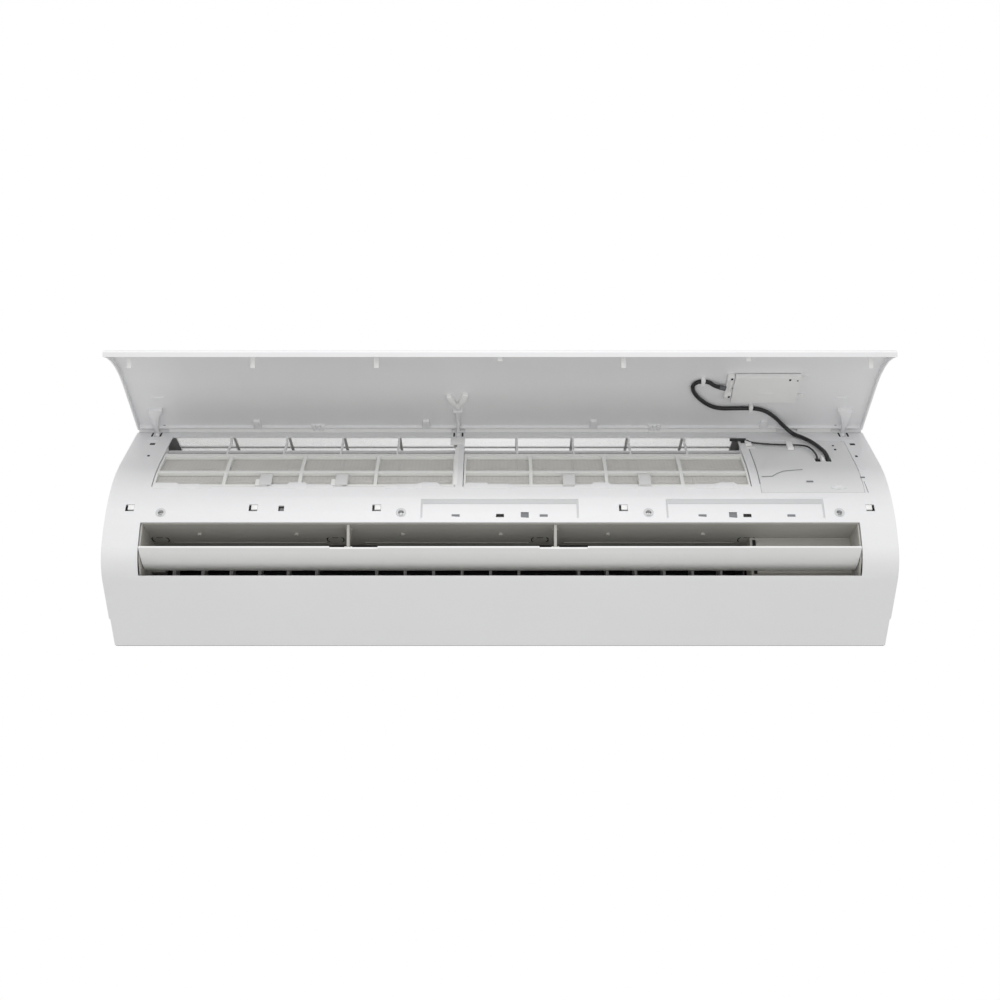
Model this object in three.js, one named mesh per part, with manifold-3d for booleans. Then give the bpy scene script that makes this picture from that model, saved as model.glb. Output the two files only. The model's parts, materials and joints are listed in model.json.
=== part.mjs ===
// Wall-mounted indoor unit of a mini split air conditioner, with its front panel swung open.
// Units are millimetres. X runs to the viewer's right, Y towards the wall and Z up.
// The origin is the middle of the mounting plate's back face, which lies on the wall.
import * as THREE from "three";
import { mergeVertices } from "three/addons/utils/BufferGeometryUtils.js";
import Module from "manifold-3d";

const wasm = await Module();
wasm.setup();

// ---- Driving dimensions ----------------------------------------------------------------

const DEG = Math.PI / 180;
const GAP = 0.3; // running gap between neighbouring pieces
const WALL = 2.5; // moulded wall of the casing, chassis and duct

// The casing's side profile: flat top, 45 degree slope, round belly, nose, chin, underside.
const CASING_WIDTH = 1083;
const CASING_HEIGHT = 338;
const CASING_DEPTH = 240;
const SLOPE = 45 * DEG;
const BELLY_RADIUS = 200;
const NOSE_Z = -61;
const CHIN_RADIUS = 55;
const UNDERSIDE = 34 * DEG; // fall of the underside, from the chin back to the bottom edge
const REAR_EDGE_Y = -6; // back edge of the casing's end walls
const REAR_BEND_Y = -40; // the rear underside rises in two flats, which bend here
const REAR_BEND_RISE = 28;
const REAR_RISE = 46;
const CHEEK_STEP = 1.8; // the end walls step in beside the lowest part of the underside
const CHEEK_STEP_AT = 398;

// Places on the front are arc lengths down the profile from the top front corner.
const WINDOW_TOP = 17;
const WINDOW_BOTTOM = 183;
const LEFT_WINDOW = [-486, -63];
const RIGHT_WINDOW = [-52, 351];
const WELL_DEPTH = 12; // the filter's well, down to the back of the lattice
const LATTICE_DEPTH = 3.5;
const LATTICE_BAR = 3;
const LATTICE_PITCH = 83;
const LATTICE_RIBS = 4;
const LATTICE_ROWS = [50, 128, 158];
const COVER_SPAN = [363, 507];
const COVER_TOP = 33;
const COVER_BOTTOM = 196;
const OUTLET_TOP = 248;
const OUTLET_BOTTOM = 326;
const OUTLET_HALF = 492;
const DUCT_RIGHT = 350; // the blower's duct ends here and a blank fills the rest of the outlet

const GRILLE_SPAN = [-486, 350];
const GRILLE_RIB = 4;
const GRILLE_ROWS = [[-86, -42], [-37.6, -18]]; // y of the slots' front and rear ends

const HOOK_AT = 222; // hooks on the panel and their slots in the front strip
const HOOK_PITCH = 169.8;
const HOOK_COUNT = 7;
const HOOK_DEPTH = 12; // how far a hook reaches into the casing
const HOOK_THICK = 2.4;
const WIDE_SLOT = 12;
const PIN_HOLE = [-301, 225, 8, 10]; // x, place, width and length of the hole for a moulding pin
const POCKETS = [[-109, 108], [229, 446]];
const POCKET_TOP = 208;
const POCKET_BOTTOM = 243;
const POCKET_DEPTH = 1.6;
const POCKET_HOOK_AT = 236;
const POCKET_HOOK_DEPTH = 4;
const POCKET_SLOT = 11;
const SHORT_SLOTS = [-61, 60, 278, 400];
const LONG_SLOTS = [34, 320];
const SCREW_XS = [-466, -136, 204, 466];
const SCREW_AT = 232;
const SCREW_HEAD_RADIUS = 3.6;
const SCREW_SHANK_RADIUS = 1.8;
const SCREW_LENGTH = 13;
const SCREW_SEAT = 4.5;
const CUP_FLOOR = 3.6; // from the screw's seat to the bottom of its cup

// The front panel turns about a hinge line just inside the top front corner.
const HINGE_Y = -93;
const HINGE_Z = 163.5;
const HINGE_XS = [-511, -62, 511];
const HINGE_PIN_RADIUS = 3;
const HINGE_ARM = 5; // width of an arm along the pin
const HINGE_CHEEK = 4;
const PANEL_OPEN = 56 * DEG;
const PANEL_HALF = 539.7;
const PANEL_STANDOFF = 8; // from the casing's face to the panel's inner face, when shut
const PANEL_WALL = 2.5;
const PANEL_TOP = 2;
const PANEL_BOTTOM = 249;
const RIM_TOP = 12;
const RIM_GAP = 0.9;
const ROOT_GAP = 2.8; // the panel's upper rim passes the casing's corner as it opens
const HINGE_RIM_GAP = 3.5;
const PANEL_EDGE_EASING = 3.6; // the outer corner of the panel's free edge is cut back

// The display box sits on the inside of the panel.
const DISPLAY_SPAN = [335, 429];
const DISPLAY_TOP = 82;
const DISPLAY_BOTTOM = 146;
const DISPLAY_HEIGHT = 6;
const DISPLAY_SEAT = 1.2;
const DISPLAY_WALL = 1.6;
const BOARD_THICK = 1.6;

// Air filters: a slab with net cells in two rows, held in the lower part of each well.
const FILTER_TOP = 80;
const FILTER_BOTTOM = WINDOW_BOTTOM - 1;
const FILTER_FACE = 1.2; // inset of the frame's outer face
const FILTER_DEEP = 5.2;
const FILTER_PITCH = 106;
const FILTER_RIB = 5;
const FILTER_MID_AT = 141;

// The louver's axis lies behind the nose; at rest it stands open.
const LOUVER_PIVOT_Y = -218;
const LOUVER_PIVOT_Z = NOSE_Z + 1;
const LOUVER_OPEN = 73 * DEG;
const LOUVER_END_GAP = 1;
const LOUVER_THICK = 3.2;
const LOUVER_HALF = OUTLET_HALF - WALL - LOUVER_END_GAP;
const LOUVER_EDGE_GAP = 2;
const LOUVER_PIN_RADIUS = 2.6;
const BRACKET_XS = [-208, 76];
const BRACKET_WIDTH = 4;
const EAR_WIDTH = 3;
const NOTCH_WIDTH = 65;
const NOTCH_DEPTH = 2;
const NOTCH_OFFSET = 10; // from a bracket to the middle of its notch

// Blower: a crossflow fan across the unit, its motor at the right.
const FAN_Y = -98;
const FAN_Z = 12;
const FAN_RADIUS = 54;
const FAN_SPAN = [-486, 338];
const FAN_BLADES = 20;
const FAN_DISC = 2.5;
const FAN_INNER_DISCS = 1;
const BLADE_DEPTH = 11;
const BLADE_THICK = 1.6;
const BLADE_LEAN = 28 * DEG;
const SHAFT_RADIUS = 4;
const BEARING_RADIUS = 11;
const BEARING_LENGTH = 8;
const MOTOR_RADIUS = 44;
const MOTOR_SPAN = [358, 428];
const CLAMP_WIDTH = 14;
const CLAMP_THICK = 3;

// Chassis
const BACK_Y = -11.2; // middle of the chassis's back wall
const SIDE_WALL_LEFT = -494.5;
const SIDE_WALL_RIGHT = 345;
const WALL_FRONT_Y = -151;
const RECESS_TOP_Z = -60; // the pipe recess lies under this, open to the back

// Heat exchanger: a fin block bent over the fan, drawn as a centre line with a thickness.
const COIL_THICK = 26;
const COIL_SPAN = [-500, 351];
const COIL_LINE = [[-182, 2], [-172, 45], [-78, 121], [-30, 72]];
const END_PLATE = 1.5;
const TUBE_RADIUS = 3.5;
const LEFT_BENDS = [0.06, 0.2, 0.36, 0.5, 0.66, 0.84]; // shares of the centre line's length
const RIGHT_BENDS = [0.1, 0.28, 0.44];

// Vertical vanes stand on the duct's floor, six to a group.
const FLOOR_Z = -94;
const FLOOR_STEP_Z = -99.5; // the floor drops here to let the louver's lower edge swing past
const FLOOR_STEP_YS = [-196, -190];
const FLOOR_FRONT_Y = -216.5;
const VANE_GROUPS = [-455, -173, 109];
const VANES_PER_GROUP = 6;
const VANE_PITCH = 39.7;
const VANE_PIVOT_Y = -150;
const VANE_FRONT_Y = -174;
const VANE_REAR_Y = -131;
const VANE_HEIGHT = 40;
const VANE_THICK = 1.6;
const VANE_LIFT = 3.4; // from the floor to the vane's lower edge
const VANE_PIN_RADIUS = 2;
const LINK_REACH = 18; // from a vane's pivot to the link bar
const LINK_THICK = 2.2;
const LINK_WIDTH = 6;
const LINK_POST = 3.6;
const LINK_POST_GAP = 3.6;

// The scroll behind the fan, from the coil down to the floor's rear edge.
const SCROLL = [[-34, 56], [-30, 20], [-38, -22], [-60, -58], [-95, -85],
  [VANE_REAR_Y + 2, FLOOR_Z - WALL / 2]];

const CEILING_Z = -27;
const TONGUE_Y = -147;
const TRAY_REAR_Y = -159;
const TRAY_REAR_Z = -3;
const TRAY_FRONT_Y = -215;
const TRAY_TOP_Z = 4;
const TRAY_END_Z = -2.5;
const BLANK_Y = -175;
const BOSS_XS = [-418, -283, -135, 1, 150, 282];

// Pipes leave the coil's right end and run left along the recess at the back.
const LIQUID = { radius: 3.2, z: -86, share: 0.7, end: 150 };
const SUCTION = { radius: 6.4, z: -106, share: 0.88, end: 120 };
const PIPE_Y = -30;

// Control box, right of the motor
const BOX_SPAN = [436, 528];
const BOX_FRONT_Y = -178;
const BOX_BACK_Y = -100;
const BOX_LOW_Z = 7;
const BOX_TOP_Z = 66;

// Mounting plate on the wall
const PLATE_HALF = 440;
const PLATE_BOTTOM = -56;
const PLATE_TOP = 112;
const PLATE_THICK = 1.5;
const PLATE_HOOK_XS = [-320, 0, 320];
const PLATE_HOOK_WIDTH = 36;

// Leads
const LEAD_RADIUS = 3;
const SENSOR_LEAD_RADIUS = 1.3;
const LEAD_CLIPS = [[291, 128], [366, 62.7]];
const CLIP_LENGTH = 4;
const CLIP_WALL = 2;
const LEAD_HOLE = [8, 15];
const LEAD_HOLE_AT = 104;
const SENSOR_X = 357;
const SENSOR_AT = 38;
const DISPLAY_HOLE_X = 471;
const SENSOR_HOLE_X = 456;

// ---- Colours ---------------------------------------------------------------------------

function plastic(color, roughness = 0.5) {
  return new THREE.MeshStandardMaterial({ color, roughness, metalness: 0 });
}

function metal(color, roughness = 0.4) {
  return new THREE.MeshStandardMaterial({ color, roughness, metalness: 1 });
}

const WHITE = 0xe8e9e8;
const FRAME_WHITE = 0xdcddda;
const GREY = 0xb9bab7;
const CHARCOAL = 0x46494b;
const BLACK = 0x1c1d1e;
const STEEL = 0xb4b7b9;
const ALUMINIUM = 0xc9cccd;
const COPPER = 0xb8704a;
const BRASS = 0xb59a58;

// ---- Profile of the front --------------------------------------------------------------

const TOP_Z = CASING_HEIGHT / 2;
const BOTTOM_Z = -CASING_HEIGHT / 2;
const HALF_WIDTH = CASING_WIDTH / 2;
const BELLY_Y = BELLY_RADIUS - CASING_DEPTH;
const CHIN_Y = CHIN_RADIUS - CASING_DEPTH;
const SLOPE_END_Y = BELLY_Y - BELLY_RADIUS * Math.cos(SLOPE);
const SLOPE_END_Z = NOSE_Z + BELLY_RADIUS * Math.sin(SLOPE);
const SLOPE_LENGTH = (TOP_Z - SLOPE_END_Z) / Math.cos(SLOPE);
const CORNER_Y = SLOPE_END_Y + SLOPE_LENGTH * Math.sin(SLOPE);
const NOSE_AT = SLOPE_LENGTH + BELLY_RADIUS * SLOPE;
const CHIN_SWEEP = 90 * DEG - UNDERSIDE;
const CHIN_END_AT = NOSE_AT + CHIN_RADIUS * CHIN_SWEEP;
const CHIN_END_Z = NOSE_Z - CHIN_RADIUS * Math.sin(CHIN_SWEEP);
const EDGE_AT = CHIN_END_AT + (CHIN_END_Z - BOTTOM_Z) / Math.sin(UNDERSIDE);

// The point at arc length `at` down the front, moved `inset` into the casing.
// `lean` is how far the outward normal rises above level.
function facePoint(at, inset = 0) {
  let lean, y, z;
  if (at <= SLOPE_LENGTH) {
    lean = SLOPE;
    y = CORNER_Y - at * Math.sin(lean);
    z = TOP_Z - at * Math.cos(lean);
  } else if (at <= CHIN_END_AT) {
    const belly = at <= NOSE_AT;
    const radius = belly ? BELLY_RADIUS : CHIN_RADIUS;
    lean = (NOSE_AT - at) / radius;
    y = (belly ? BELLY_Y : CHIN_Y) - radius * Math.cos(lean);
    z = NOSE_Z + radius * Math.sin(lean);
  } else {
    lean = -CHIN_SWEEP;
    y = CHIN_Y - CHIN_RADIUS * Math.cos(lean) - (at - CHIN_END_AT) * Math.sin(lean);
    z = CHIN_END_Z - (at - CHIN_END_AT) * Math.cos(lean);
  }
  return { y: y + inset * Math.cos(lean), z: z - inset * Math.sin(lean), lean };
}

// Arc lengths between two places, close enough together to draw the round stretches.
function faceStops(from, to, step = 9 * DEG) {
  const stops = [from, to];
  for (const [start, end, radius] of [
    [SLOPE_LENGTH, NOSE_AT, BELLY_RADIUS],
    [NOSE_AT, CHIN_END_AT, CHIN_RADIUS],
  ]) {
    const count = Math.ceil((end - start) / radius / step);
    for (let i = 0; i <= count; i++) {
      const at = start + ((end - start) * i) / count;
      if (at > from + 0.5 && at < to - 0.5) stops.push(at);
    }
  }
  return [...new Set(stops)].sort((a, b) => a - b);
}

// A strip of the front from one place to another, between two insets, as [y, z] points.
function band(from, to, outer, inner) {
  const stops = faceStops(from, to);
  const side = (inset) => stops.map((at) => [facePoint(at, inset).y, facePoint(at, inset).z]);
  return [...side(outer), ...side(inner).reverse()];
}

// ---- Solids ----------------------------------------------------------------------------

function toSolid(geometry) {
  const bare = geometry.index ? geometry.toNonIndexed() : geometry.clone();
  bare.deleteAttribute("normal");
  bare.deleteAttribute("uv");
  const merged = mergeVertices(bare, 1e-4);
  return new wasm.Manifold(
    new wasm.Mesh({
      numProp: 3,
      vertProperties: merged.attributes.position.array,
      triVerts: new Uint32Array(merged.index.array),
    }),
  );
}

function toGeometry(solid) {
  const { vertProperties, triVerts } = solid.getMesh();
  const geometry = new THREE.BufferGeometry();
  geometry.setAttribute("position", new THREE.BufferAttribute(vertProperties, 3));
  geometry.setIndex(new THREE.BufferAttribute(triVerts, 1));
  const flat = geometry.toNonIndexed();
  flat.computeVertexNormals();
  return flat;
}

const join = (first, ...rest) => rest.flat().reduce((sum, one) => sum.add(one), first);
const cut = (first, ...rest) => rest.flat().reduce((sum, one) => sum.subtract(one), first);

const ACROSS = new THREE.Matrix4().makeBasis(
  new THREE.Vector3(0, 1, 0),
  new THREE.Vector3(0, 0, 1),
  new THREE.Vector3(1, 0, 0),
);

// A section drawn as [y, z] points, carried along X from x0 to x1.
function prism(points, x0, x1) {
  const shape = new THREE.Shape(points.map(([y, z]) => new THREE.Vector2(y, z)));
  const geometry = new THREE.ExtrudeGeometry(shape, { depth: x1 - x0, bevelEnabled: false });
  geometry.applyMatrix4(ACROSS).translate(x0, 0, 0);
  return toSolid(geometry);
}

function box([x0, x1], [y0, y1], [z0, z1]) {
  const geometry = new THREE.BoxGeometry(x1 - x0, y1 - y0, z1 - z0);
  geometry.translate((x0 + x1) / 2, (y0 + y1) / 2, (z0 + z1) / 2);
  return toSolid(geometry);
}

// A cylinder along X, at the given [y, z].
function rod([y, z], radius, [x0, x1], sides = 16) {
  const geometry = new THREE.CylinderGeometry(radius, radius, x1 - x0, sides);
  geometry.rotateZ(-90 * DEG).translate((x0 + x1) / 2, y, z);
  return toSolid(geometry);
}

// A cylinder along Z, at the given [x, y].
function post([x, y], radius, [z0, z1], sides = 12) {
  const geometry = new THREE.CylinderGeometry(radius, radius, z1 - z0, sides);
  geometry.rotateX(90 * DEG).translate(x, y, (z0 + z1) / 2);
  return toSolid(geometry);
}

// Turns a geometry drawn with its Y axis pointing out of the face, so that it stands there.
function onFace(geometry, x, at, inset) {
  const { y, z, lean } = facePoint(at, inset);
  geometry.rotateX(180 * DEG - lean).translate(x, y, z);
  return toSolid(geometry);
}

// A block on the front: `wide` along X, `long` down the face, from one inset to another.
function faceBox(x, at, wide, long, outer, inner) {
  const geometry = new THREE.BoxGeometry(wide, inner - outer, long);
  return onFace(geometry, x, at, (outer + inner) / 2);
}

function faceRod(x, at, radius, outer, inner, sides = 12) {
  const geometry = new THREE.CylinderGeometry(radius, radius, inner - outer, sides);
  return onFace(geometry, x, at, (outer + inner) / 2);
}

// Points beside an open polyline at a signed distance, mitred at its bends.
function besideLine(line, distance) {
  return line.map((point, i) => {
    const before = i > 0 ? line[i - 1] : null;
    const after = i < line.length - 1 ? line[i + 1] : null;
    const normals = [[before, point], [point, after]]
      .filter(([a, b]) => a && b)
      .map(([a, b]) => {
        const length = Math.hypot(b[0] - a[0], b[1] - a[1]);
        return [-(b[1] - a[1]) / length, (b[0] - a[0]) / length];
      });
    const sum = normals.reduce((s, n) => [s[0] + n[0], s[1] + n[1]], [0, 0]);
    const scale = distance / ((sum[0] ** 2 + sum[1] ** 2) / normals.length);
    return [point[0] + sum[0] * scale, point[1] + sum[1] * scale];
  });
}

// A sheet that follows an open polyline of [y, z] points.
function sheet(line, thickness, x0, x1) {
  const left = besideLine(line, thickness / 2);
  const right = besideLine(line, -thickness / 2);
  return prism([...right, ...left.reverse()], x0, x1);
}

// A round bar or lead along a smooth curve through the given points.
function tube(points, radius, sides, steps) {
  const section = new THREE.Shape();
  for (let i = 0; i < sides; i++) {
    const angle = (2 * Math.PI * i) / sides;
    const corner = [radius * Math.cos(angle), radius * Math.sin(angle)];
    if (i) section.lineTo(...corner);
    else section.moveTo(...corner);
  }
  const stations = points.map((p) => new THREE.Vector3(...p));
  const extrudePath = new THREE.CatmullRomCurve3(stations, false, "centripetal");
  return toSolid(new THREE.ExtrudeGeometry(section, { steps, extrudePath, bevelEnabled: false }));
}

function node(name, solid, material, group = unit) {
  const mesh = new THREE.Mesh(toGeometry(solid), material);
  mesh.name = name;
  group.add(mesh);
  return mesh;
}

// A group whose own origin is a pivot line along X. Its pieces are drawn shut, in the
// unit's frame, and the group's turn opens them.
function pivotGroup(y, z, angle) {
  const hinge = new THREE.Group();
  hinge.position.set(0, y, z);
  hinge.rotation.x = angle;
  const content = new THREE.Group();
  content.position.set(0, -y, -z);
  hinge.add(content);
  unit.add(hinge);
  return content;
}

const unit = new THREE.Group();
const panel = pivotGroup(HINGE_Y, HINGE_Z, -PANEL_OPEN);
const louver = pivotGroup(LOUVER_PIVOT_Y, LOUVER_PIVOT_Z, LOUVER_OPEN);

const spread = (first, pitch, count) => Array.from({ length: count }, (_, i) => first + pitch * i);
const hookXs = spread((-HOOK_PITCH * (HOOK_COUNT - 1)) / 2, HOOK_PITCH, HOOK_COUNT);
const inPocket = (x) => POCKETS.some(([from, to]) => x > from && x < to);

// ---- Front casing ----------------------------------------------------------------------

// The casing's outline at an inset, open at the back when it is drawn as the hollow.
function casingOutline(inset) {
  const corner = [CORNER_Y + inset * Math.tan((90 * DEG - SLOPE) / 2), TOP_Z - inset];
  const front = faceStops(1, EDGE_AT).map((at) => [facePoint(at, inset).y, facePoint(at, inset).z]);
  return [corner, ...front];
}

function casingShell() {
  const rearBottom = [[REAR_BEND_Y, BOTTOM_Z + REAR_BEND_RISE], [REAR_EDGE_Y, BOTTOM_Z + REAR_RISE]];
  const outer = [[REAR_EDGE_Y, TOP_Z], ...casingOutline(0), ...rearBottom];
  const hollow = casingOutline(WALL);
  const lastY = hollow[hollow.length - 1][0];
  const open = [[20, TOP_Z - WALL], ...hollow, [lastY, BOTTOM_Z - 20], [20, BOTTOM_Z - 20]];
  const inside = HALF_WIDTH - WALL;
  return cut(prism(outer, -HALF_WIDTH, HALF_WIDTH), prism(open, -inside, inside));
}

// The upright ribs of the lattice in one window.
function latticeXs([x0, x1]) {
  return spread((x0 + x1 - LATTICE_PITCH * (LATTICE_RIBS - 1)) / 2, LATTICE_PITCH, LATTICE_RIBS);
}

// The well that a filter sits in, with the lattice across its bottom. Above the filter
// the well stays open towards the grille.
function filterWell([x0, x1]) {
  const rim = prism(band(LATTICE_ROWS[0], WINDOW_BOTTOM + LATTICE_BAR, 1, WELL_DEPTH),
    x0 - LATTICE_BAR, x1 + LATTICE_BAR);
  const opening = prism(band(WINDOW_TOP, WINDOW_BOTTOM, -3, WELL_DEPTH + 2), x0, x1);
  const lattice = [WELL_DEPTH - LATTICE_DEPTH, WELL_DEPTH];
  const bars = LATTICE_ROWS.map((at) => prism(band(at, at + LATTICE_BAR, ...lattice), x0 - 1, x1 + 1));
  const ribs = latticeXs([x0, x1]).flatMap((x) => {
    const xs = [x - LATTICE_BAR / 2, x + LATTICE_BAR / 2];
    return [
      prism(band(WINDOW_TOP - 2, WINDOW_BOTTOM + 1, ...lattice), ...xs),
      prism(band(WINDOW_TOP - 2, WINDOW_TOP + 1.5, 1, WELL_DEPTH), ...xs),
    ];
  });
  return { rim, opening, lattice: [...bars, ...ribs] };
}

// The intake grille in the flat top. Its ribs stand over those of the lattice, with one
// more between the windows.
function grilleSlots() {
  const between = (LEFT_WINDOW[1] + RIGHT_WINDOW[0]) / 2;
  const ribs = [...latticeXs(LEFT_WINDOW), between, ...latticeXs(RIGHT_WINDOW)];
  const starts = [GRILLE_SPAN[0], ...ribs.map((x) => x + GRILLE_RIB / 2)];
  const ends = [...ribs.map((x) => x - GRILLE_RIB / 2), GRILLE_SPAN[1]];
  return GRILLE_ROWS.flatMap((ys) =>
    starts.map((x, i) => box([x, ends[i]], ys, [TOP_Z - 2 * WALL, TOP_Z + 2])));
}

// A block inside the top corner with a bore for the hinge pin and a notch for the arm.
function hingeSeat(x) {
  const half = HINGE_ARM / 2 + GAP + HINGE_CHEEK;
  const block = [[-106, 150], [-82, 150], [-82, TOP_Z - 1], [CORNER_Y, TOP_Z - 1], [-107, 154.5]];
  const notch = HINGE_ARM / 2 + GAP;
  return {
    block: prism(block, x - half, x + half),
    notch: box([x - notch, x + notch], [HINGE_Y - 16, HINGE_Y + 6], [HINGE_Z - 6.5, TOP_Z + 3]),
    bore: rod([HINGE_Y, HINGE_Z], HINGE_PIN_RADIUS + GAP, [x - half - 1, x + half + 1], 12),
  };
}

// Slots for the panel's hooks, with the moulding holes between them.
function stripHoles() {
  const hole = (x, at, wide, long) => faceBox(x, at, wide, long, -3, WALL + 3);
  const [pinX, pinAt, pinWide, pinLong] = PIN_HOLE;
  const pocketSlot = (x) => hole(x, POCKET_HOOK_AT, POCKET_SLOT, 5.5);
  const wideSlot = (x) => hole(x, HOOK_AT + 2, WIDE_SLOT, WIDE_SLOT);
  return [
    ...hookXs.map((x) => (inPocket(x) ? pocketSlot(x) : wideSlot(x))),
    ...SHORT_SLOTS.map((x) => hole(x, POCKET_HOOK_AT, POCKET_SLOT, 4)),
    ...LONG_SLOTS.map((x) => hole(x, POCKET_HOOK_AT - 1, POCKET_SLOT, 9)),
    hole(pinX, pinAt, pinWide, pinLong),
  ];
}

// A cup in the front strip that holds a casing screw.
function screwCup(x) {
  const seat = SCREW_SEAT + 2;
  return {
    cup: faceRod(x, SCREW_AT, SCREW_HEAD_RADIUS + 2.6, 1, SCREW_SEAT + CUP_FLOOR, 8),
    hole: faceRod(x, SCREW_AT, SCREW_HEAD_RADIUS + 0.9, -2, seat),
    bore: faceRod(x, SCREW_AT, SCREW_SHANK_RADIUS + GAP, -2, seat + 4, 8),
  };
}

// A ledge round the opening over the electrics, which carries the cover.
function coverLedge() {
  const [x0, x1] = COVER_SPAN;
  const ledge = prism(band(COVER_TOP - 3, COVER_BOTTOM + 3, 1, 6), x0 - 3, x1 + 3);
  const above = prism(band(COVER_TOP, COVER_BOTTOM, -3, 1 + WALL), x0, x1);
  const through = prism(band(COVER_TOP + 5, COVER_BOTTOM - 5, -3, 9), x0 + 5, x1 - 5);
  return { ledge, above, through };
}

function frontCasing() {
  const wells = [LEFT_WINDOW, RIGHT_WINDOW].map(filterWell);
  const seats = HINGE_XS.map(hingeSeat);
  const cups = SCREW_XS.map(screwCup);
  const cover = coverLedge();
  const pocket = band(POCKET_TOP, POCKET_BOTTOM, -3, POCKET_DEPTH);
  const pockets = POCKETS.map((xs) => prism(pocket, ...xs));
  const outlet = prism(band(OUTLET_TOP, OUTLET_BOTTOM, -3, WALL + 3), -OUTLET_HALF, OUTLET_HALF);
  const stepZ = facePoint(CHEEK_STEP_AT).z;
  const steps = [-1, 1].map((side) => {
    const xs = [side * (HALF_WIDTH - CHEEK_STEP), side * (HALF_WIDTH + 5)].sort((a, b) => a - b);
    return box(xs, [-CASING_DEPTH, 5], [BOTTOM_Z - 5, stepZ]);
  });
  let shell = join(casingShell(), wells.map((w) => w.rim), cups.map((c) => c.cup), cover.ledge);
  shell = join(shell, seats.map((s) => s.block));
  shell = cut(shell, wells.map((w) => w.opening), pockets, outlet, steps, grilleSlots());
  shell = cut(shell, cups.map((c) => [c.hole, c.bore]).flat(), cover.above, cover.through);
  shell = cut(shell, seats.map((s) => [s.notch, s.bore]).flat(), stripHoles());
  return join(shell, wells.map((w) => w.lattice).flat());
}

function coverPlate() {
  const [x0, x1] = COVER_SPAN;
  const section = band(COVER_TOP + GAP, COVER_BOTTOM - GAP, 0.4, 1 + WALL - GAP);
  const plate = prism(section, x0 + GAP, x1 - GAP);
  const holes = [SENSOR_HOLE_X, DISPLAY_HOLE_X].map((x) => faceBox(x, LEAD_HOLE_AT, ...LEAD_HOLE, -3, 9));
  const grip = faceRod(472, 184, 5, -0.8, 2).add(faceBox(472, 184, 22, 6, -0.8, 2));
  return join(cut(plate, holes), grip);
}

function casingScrew(x) {
  const seat = SCREW_SEAT + 2 - GAP;
  const head = faceRod(x, SCREW_AT, SCREW_HEAD_RADIUS, seat - 2.4, seat);
  const slot = faceBox(x, SCREW_AT, 1, 5, seat - 3, seat - 1.4);
  const cross = faceBox(x, SCREW_AT, 5, 1, seat - 3, seat - 1.4);
  const shank = faceRod(x, SCREW_AT, SCREW_SHANK_RADIUS, seat - 1, seat - 1 + SCREW_LENGTH, 8);
  return join(cut(head, slot, cross), shank);
}

node("front_casing", frontCasing(), plastic(WHITE));
node("control_cover", coverPlate(), plastic(FRAME_WHITE));
SCREW_XS.forEach((x, i) => node(`casing_screw_${i + 1}`, casingScrew(x), metal(STEEL)));

// ---- Front panel, drawn shut -------------------------------------------------------------

// A flat arm from the panel to its hinge pin, in [y, z] points.
function hingeArm(x) {
  const half = HINGE_ARM / 2;
  const under = -PANEL_STANDOFF - 1;
  const far = facePoint(62, under);
  const near = facePoint(8, under);
  const middle = facePoint(30, -1.2);
  const root = facePoint(5, -0.5);
  const plate = [[near.y, near.z], [far.y, far.z], [middle.y, middle.z], [root.y, root.z],
    [HINGE_Y - 3, HINGE_Z - 2.5], [HINGE_Y, HINGE_Z + 4]];
  const boss = rod([HINGE_Y, HINGE_Z], 4.5, [x - half, x + half]);
  const reach = half + GAP + HINGE_CHEEK;
  const pin = rod([HINGE_Y, HINGE_Z], HINGE_PIN_RADIUS, [x - reach, x + reach], 12);
  return [prism(plate, x - half, x + half), boss, pin];
}

function panelHook(x) {
  const [at, depth] = inPocket(x) ? [POCKET_HOOK_AT, POCKET_HOOK_DEPTH] : [HOOK_AT, HOOK_DEPTH];
  const stem = faceBox(x, at, 6, HOOK_THICK, -PANEL_STANDOFF - 1, depth);
  const gusset = faceBox(x, at - 4, 1.6, 8, -PANEL_STANDOFF - 1, -3);
  return [stem, gusset];
}

// Two posts that hold a lead against the panel.
function leadClip([x, at]) {
  return [-1, 1].map((side) => {
    const across = side * (LEAD_RADIUS + 2 * GAP + CLIP_WALL / 2);
    return faceBox(x, at + across, CLIP_LENGTH, CLIP_WALL, -PANEL_STANDOFF - 1, -RIM_GAP);
  });
}

function frontPanel() {
  const outer = -PANEL_STANDOFF - PANEL_WALL;
  const plate = prism(band(PANEL_TOP, PANEL_BOTTOM, outer, -PANEL_STANDOFF), -PANEL_HALF, PANEL_HALF);
  const ends = [-1, 1].map((side) => {
    const xs = [side * PANEL_HALF, side * (PANEL_HALF - PANEL_WALL)].sort((a, b) => a - b);
    return prism(band(RIM_TOP, PANEL_BOTTOM, outer, -RIM_GAP), ...xs);
  });
  const edges = [
    [PANEL_BOTTOM - PANEL_WALL, RIM_GAP],
    [PANEL_TOP, ROOT_GAP],
    [RIM_TOP, HINGE_RIM_GAP],
  ].map(([at, gap]) => prism(band(at, at + PANEL_WALL, outer, -gap), -PANEL_HALF, PANEL_HALF));
  const hooks = hookXs.map(panelHook).flat();
  const ribs = [-497, 497].map((x) => faceBox(x, 86, 18, 2, -PANEL_STANDOFF - 1, -6));
  const clips = LEAD_CLIPS.map(leadClip).flat();
  const easing = PANEL_EDGE_EASING;
  const corner = [
    [PANEL_BOTTOM - 1.7 * easing, outer - 0.1],
    [PANEL_BOTTOM + 1, outer - 0.1],
    [PANEL_BOTTOM + 1, outer + easing],
  ].map(([at, inset]) => [facePoint(at, inset).y, facePoint(at, inset).z]);
  const tray = cut(join(plate, ends, edges), prism(corner, -HALF_WIDTH, HALF_WIDTH));
  return join(tray, hooks, ribs, clips, HINGE_XS.map(hingeArm).flat());
}

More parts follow.
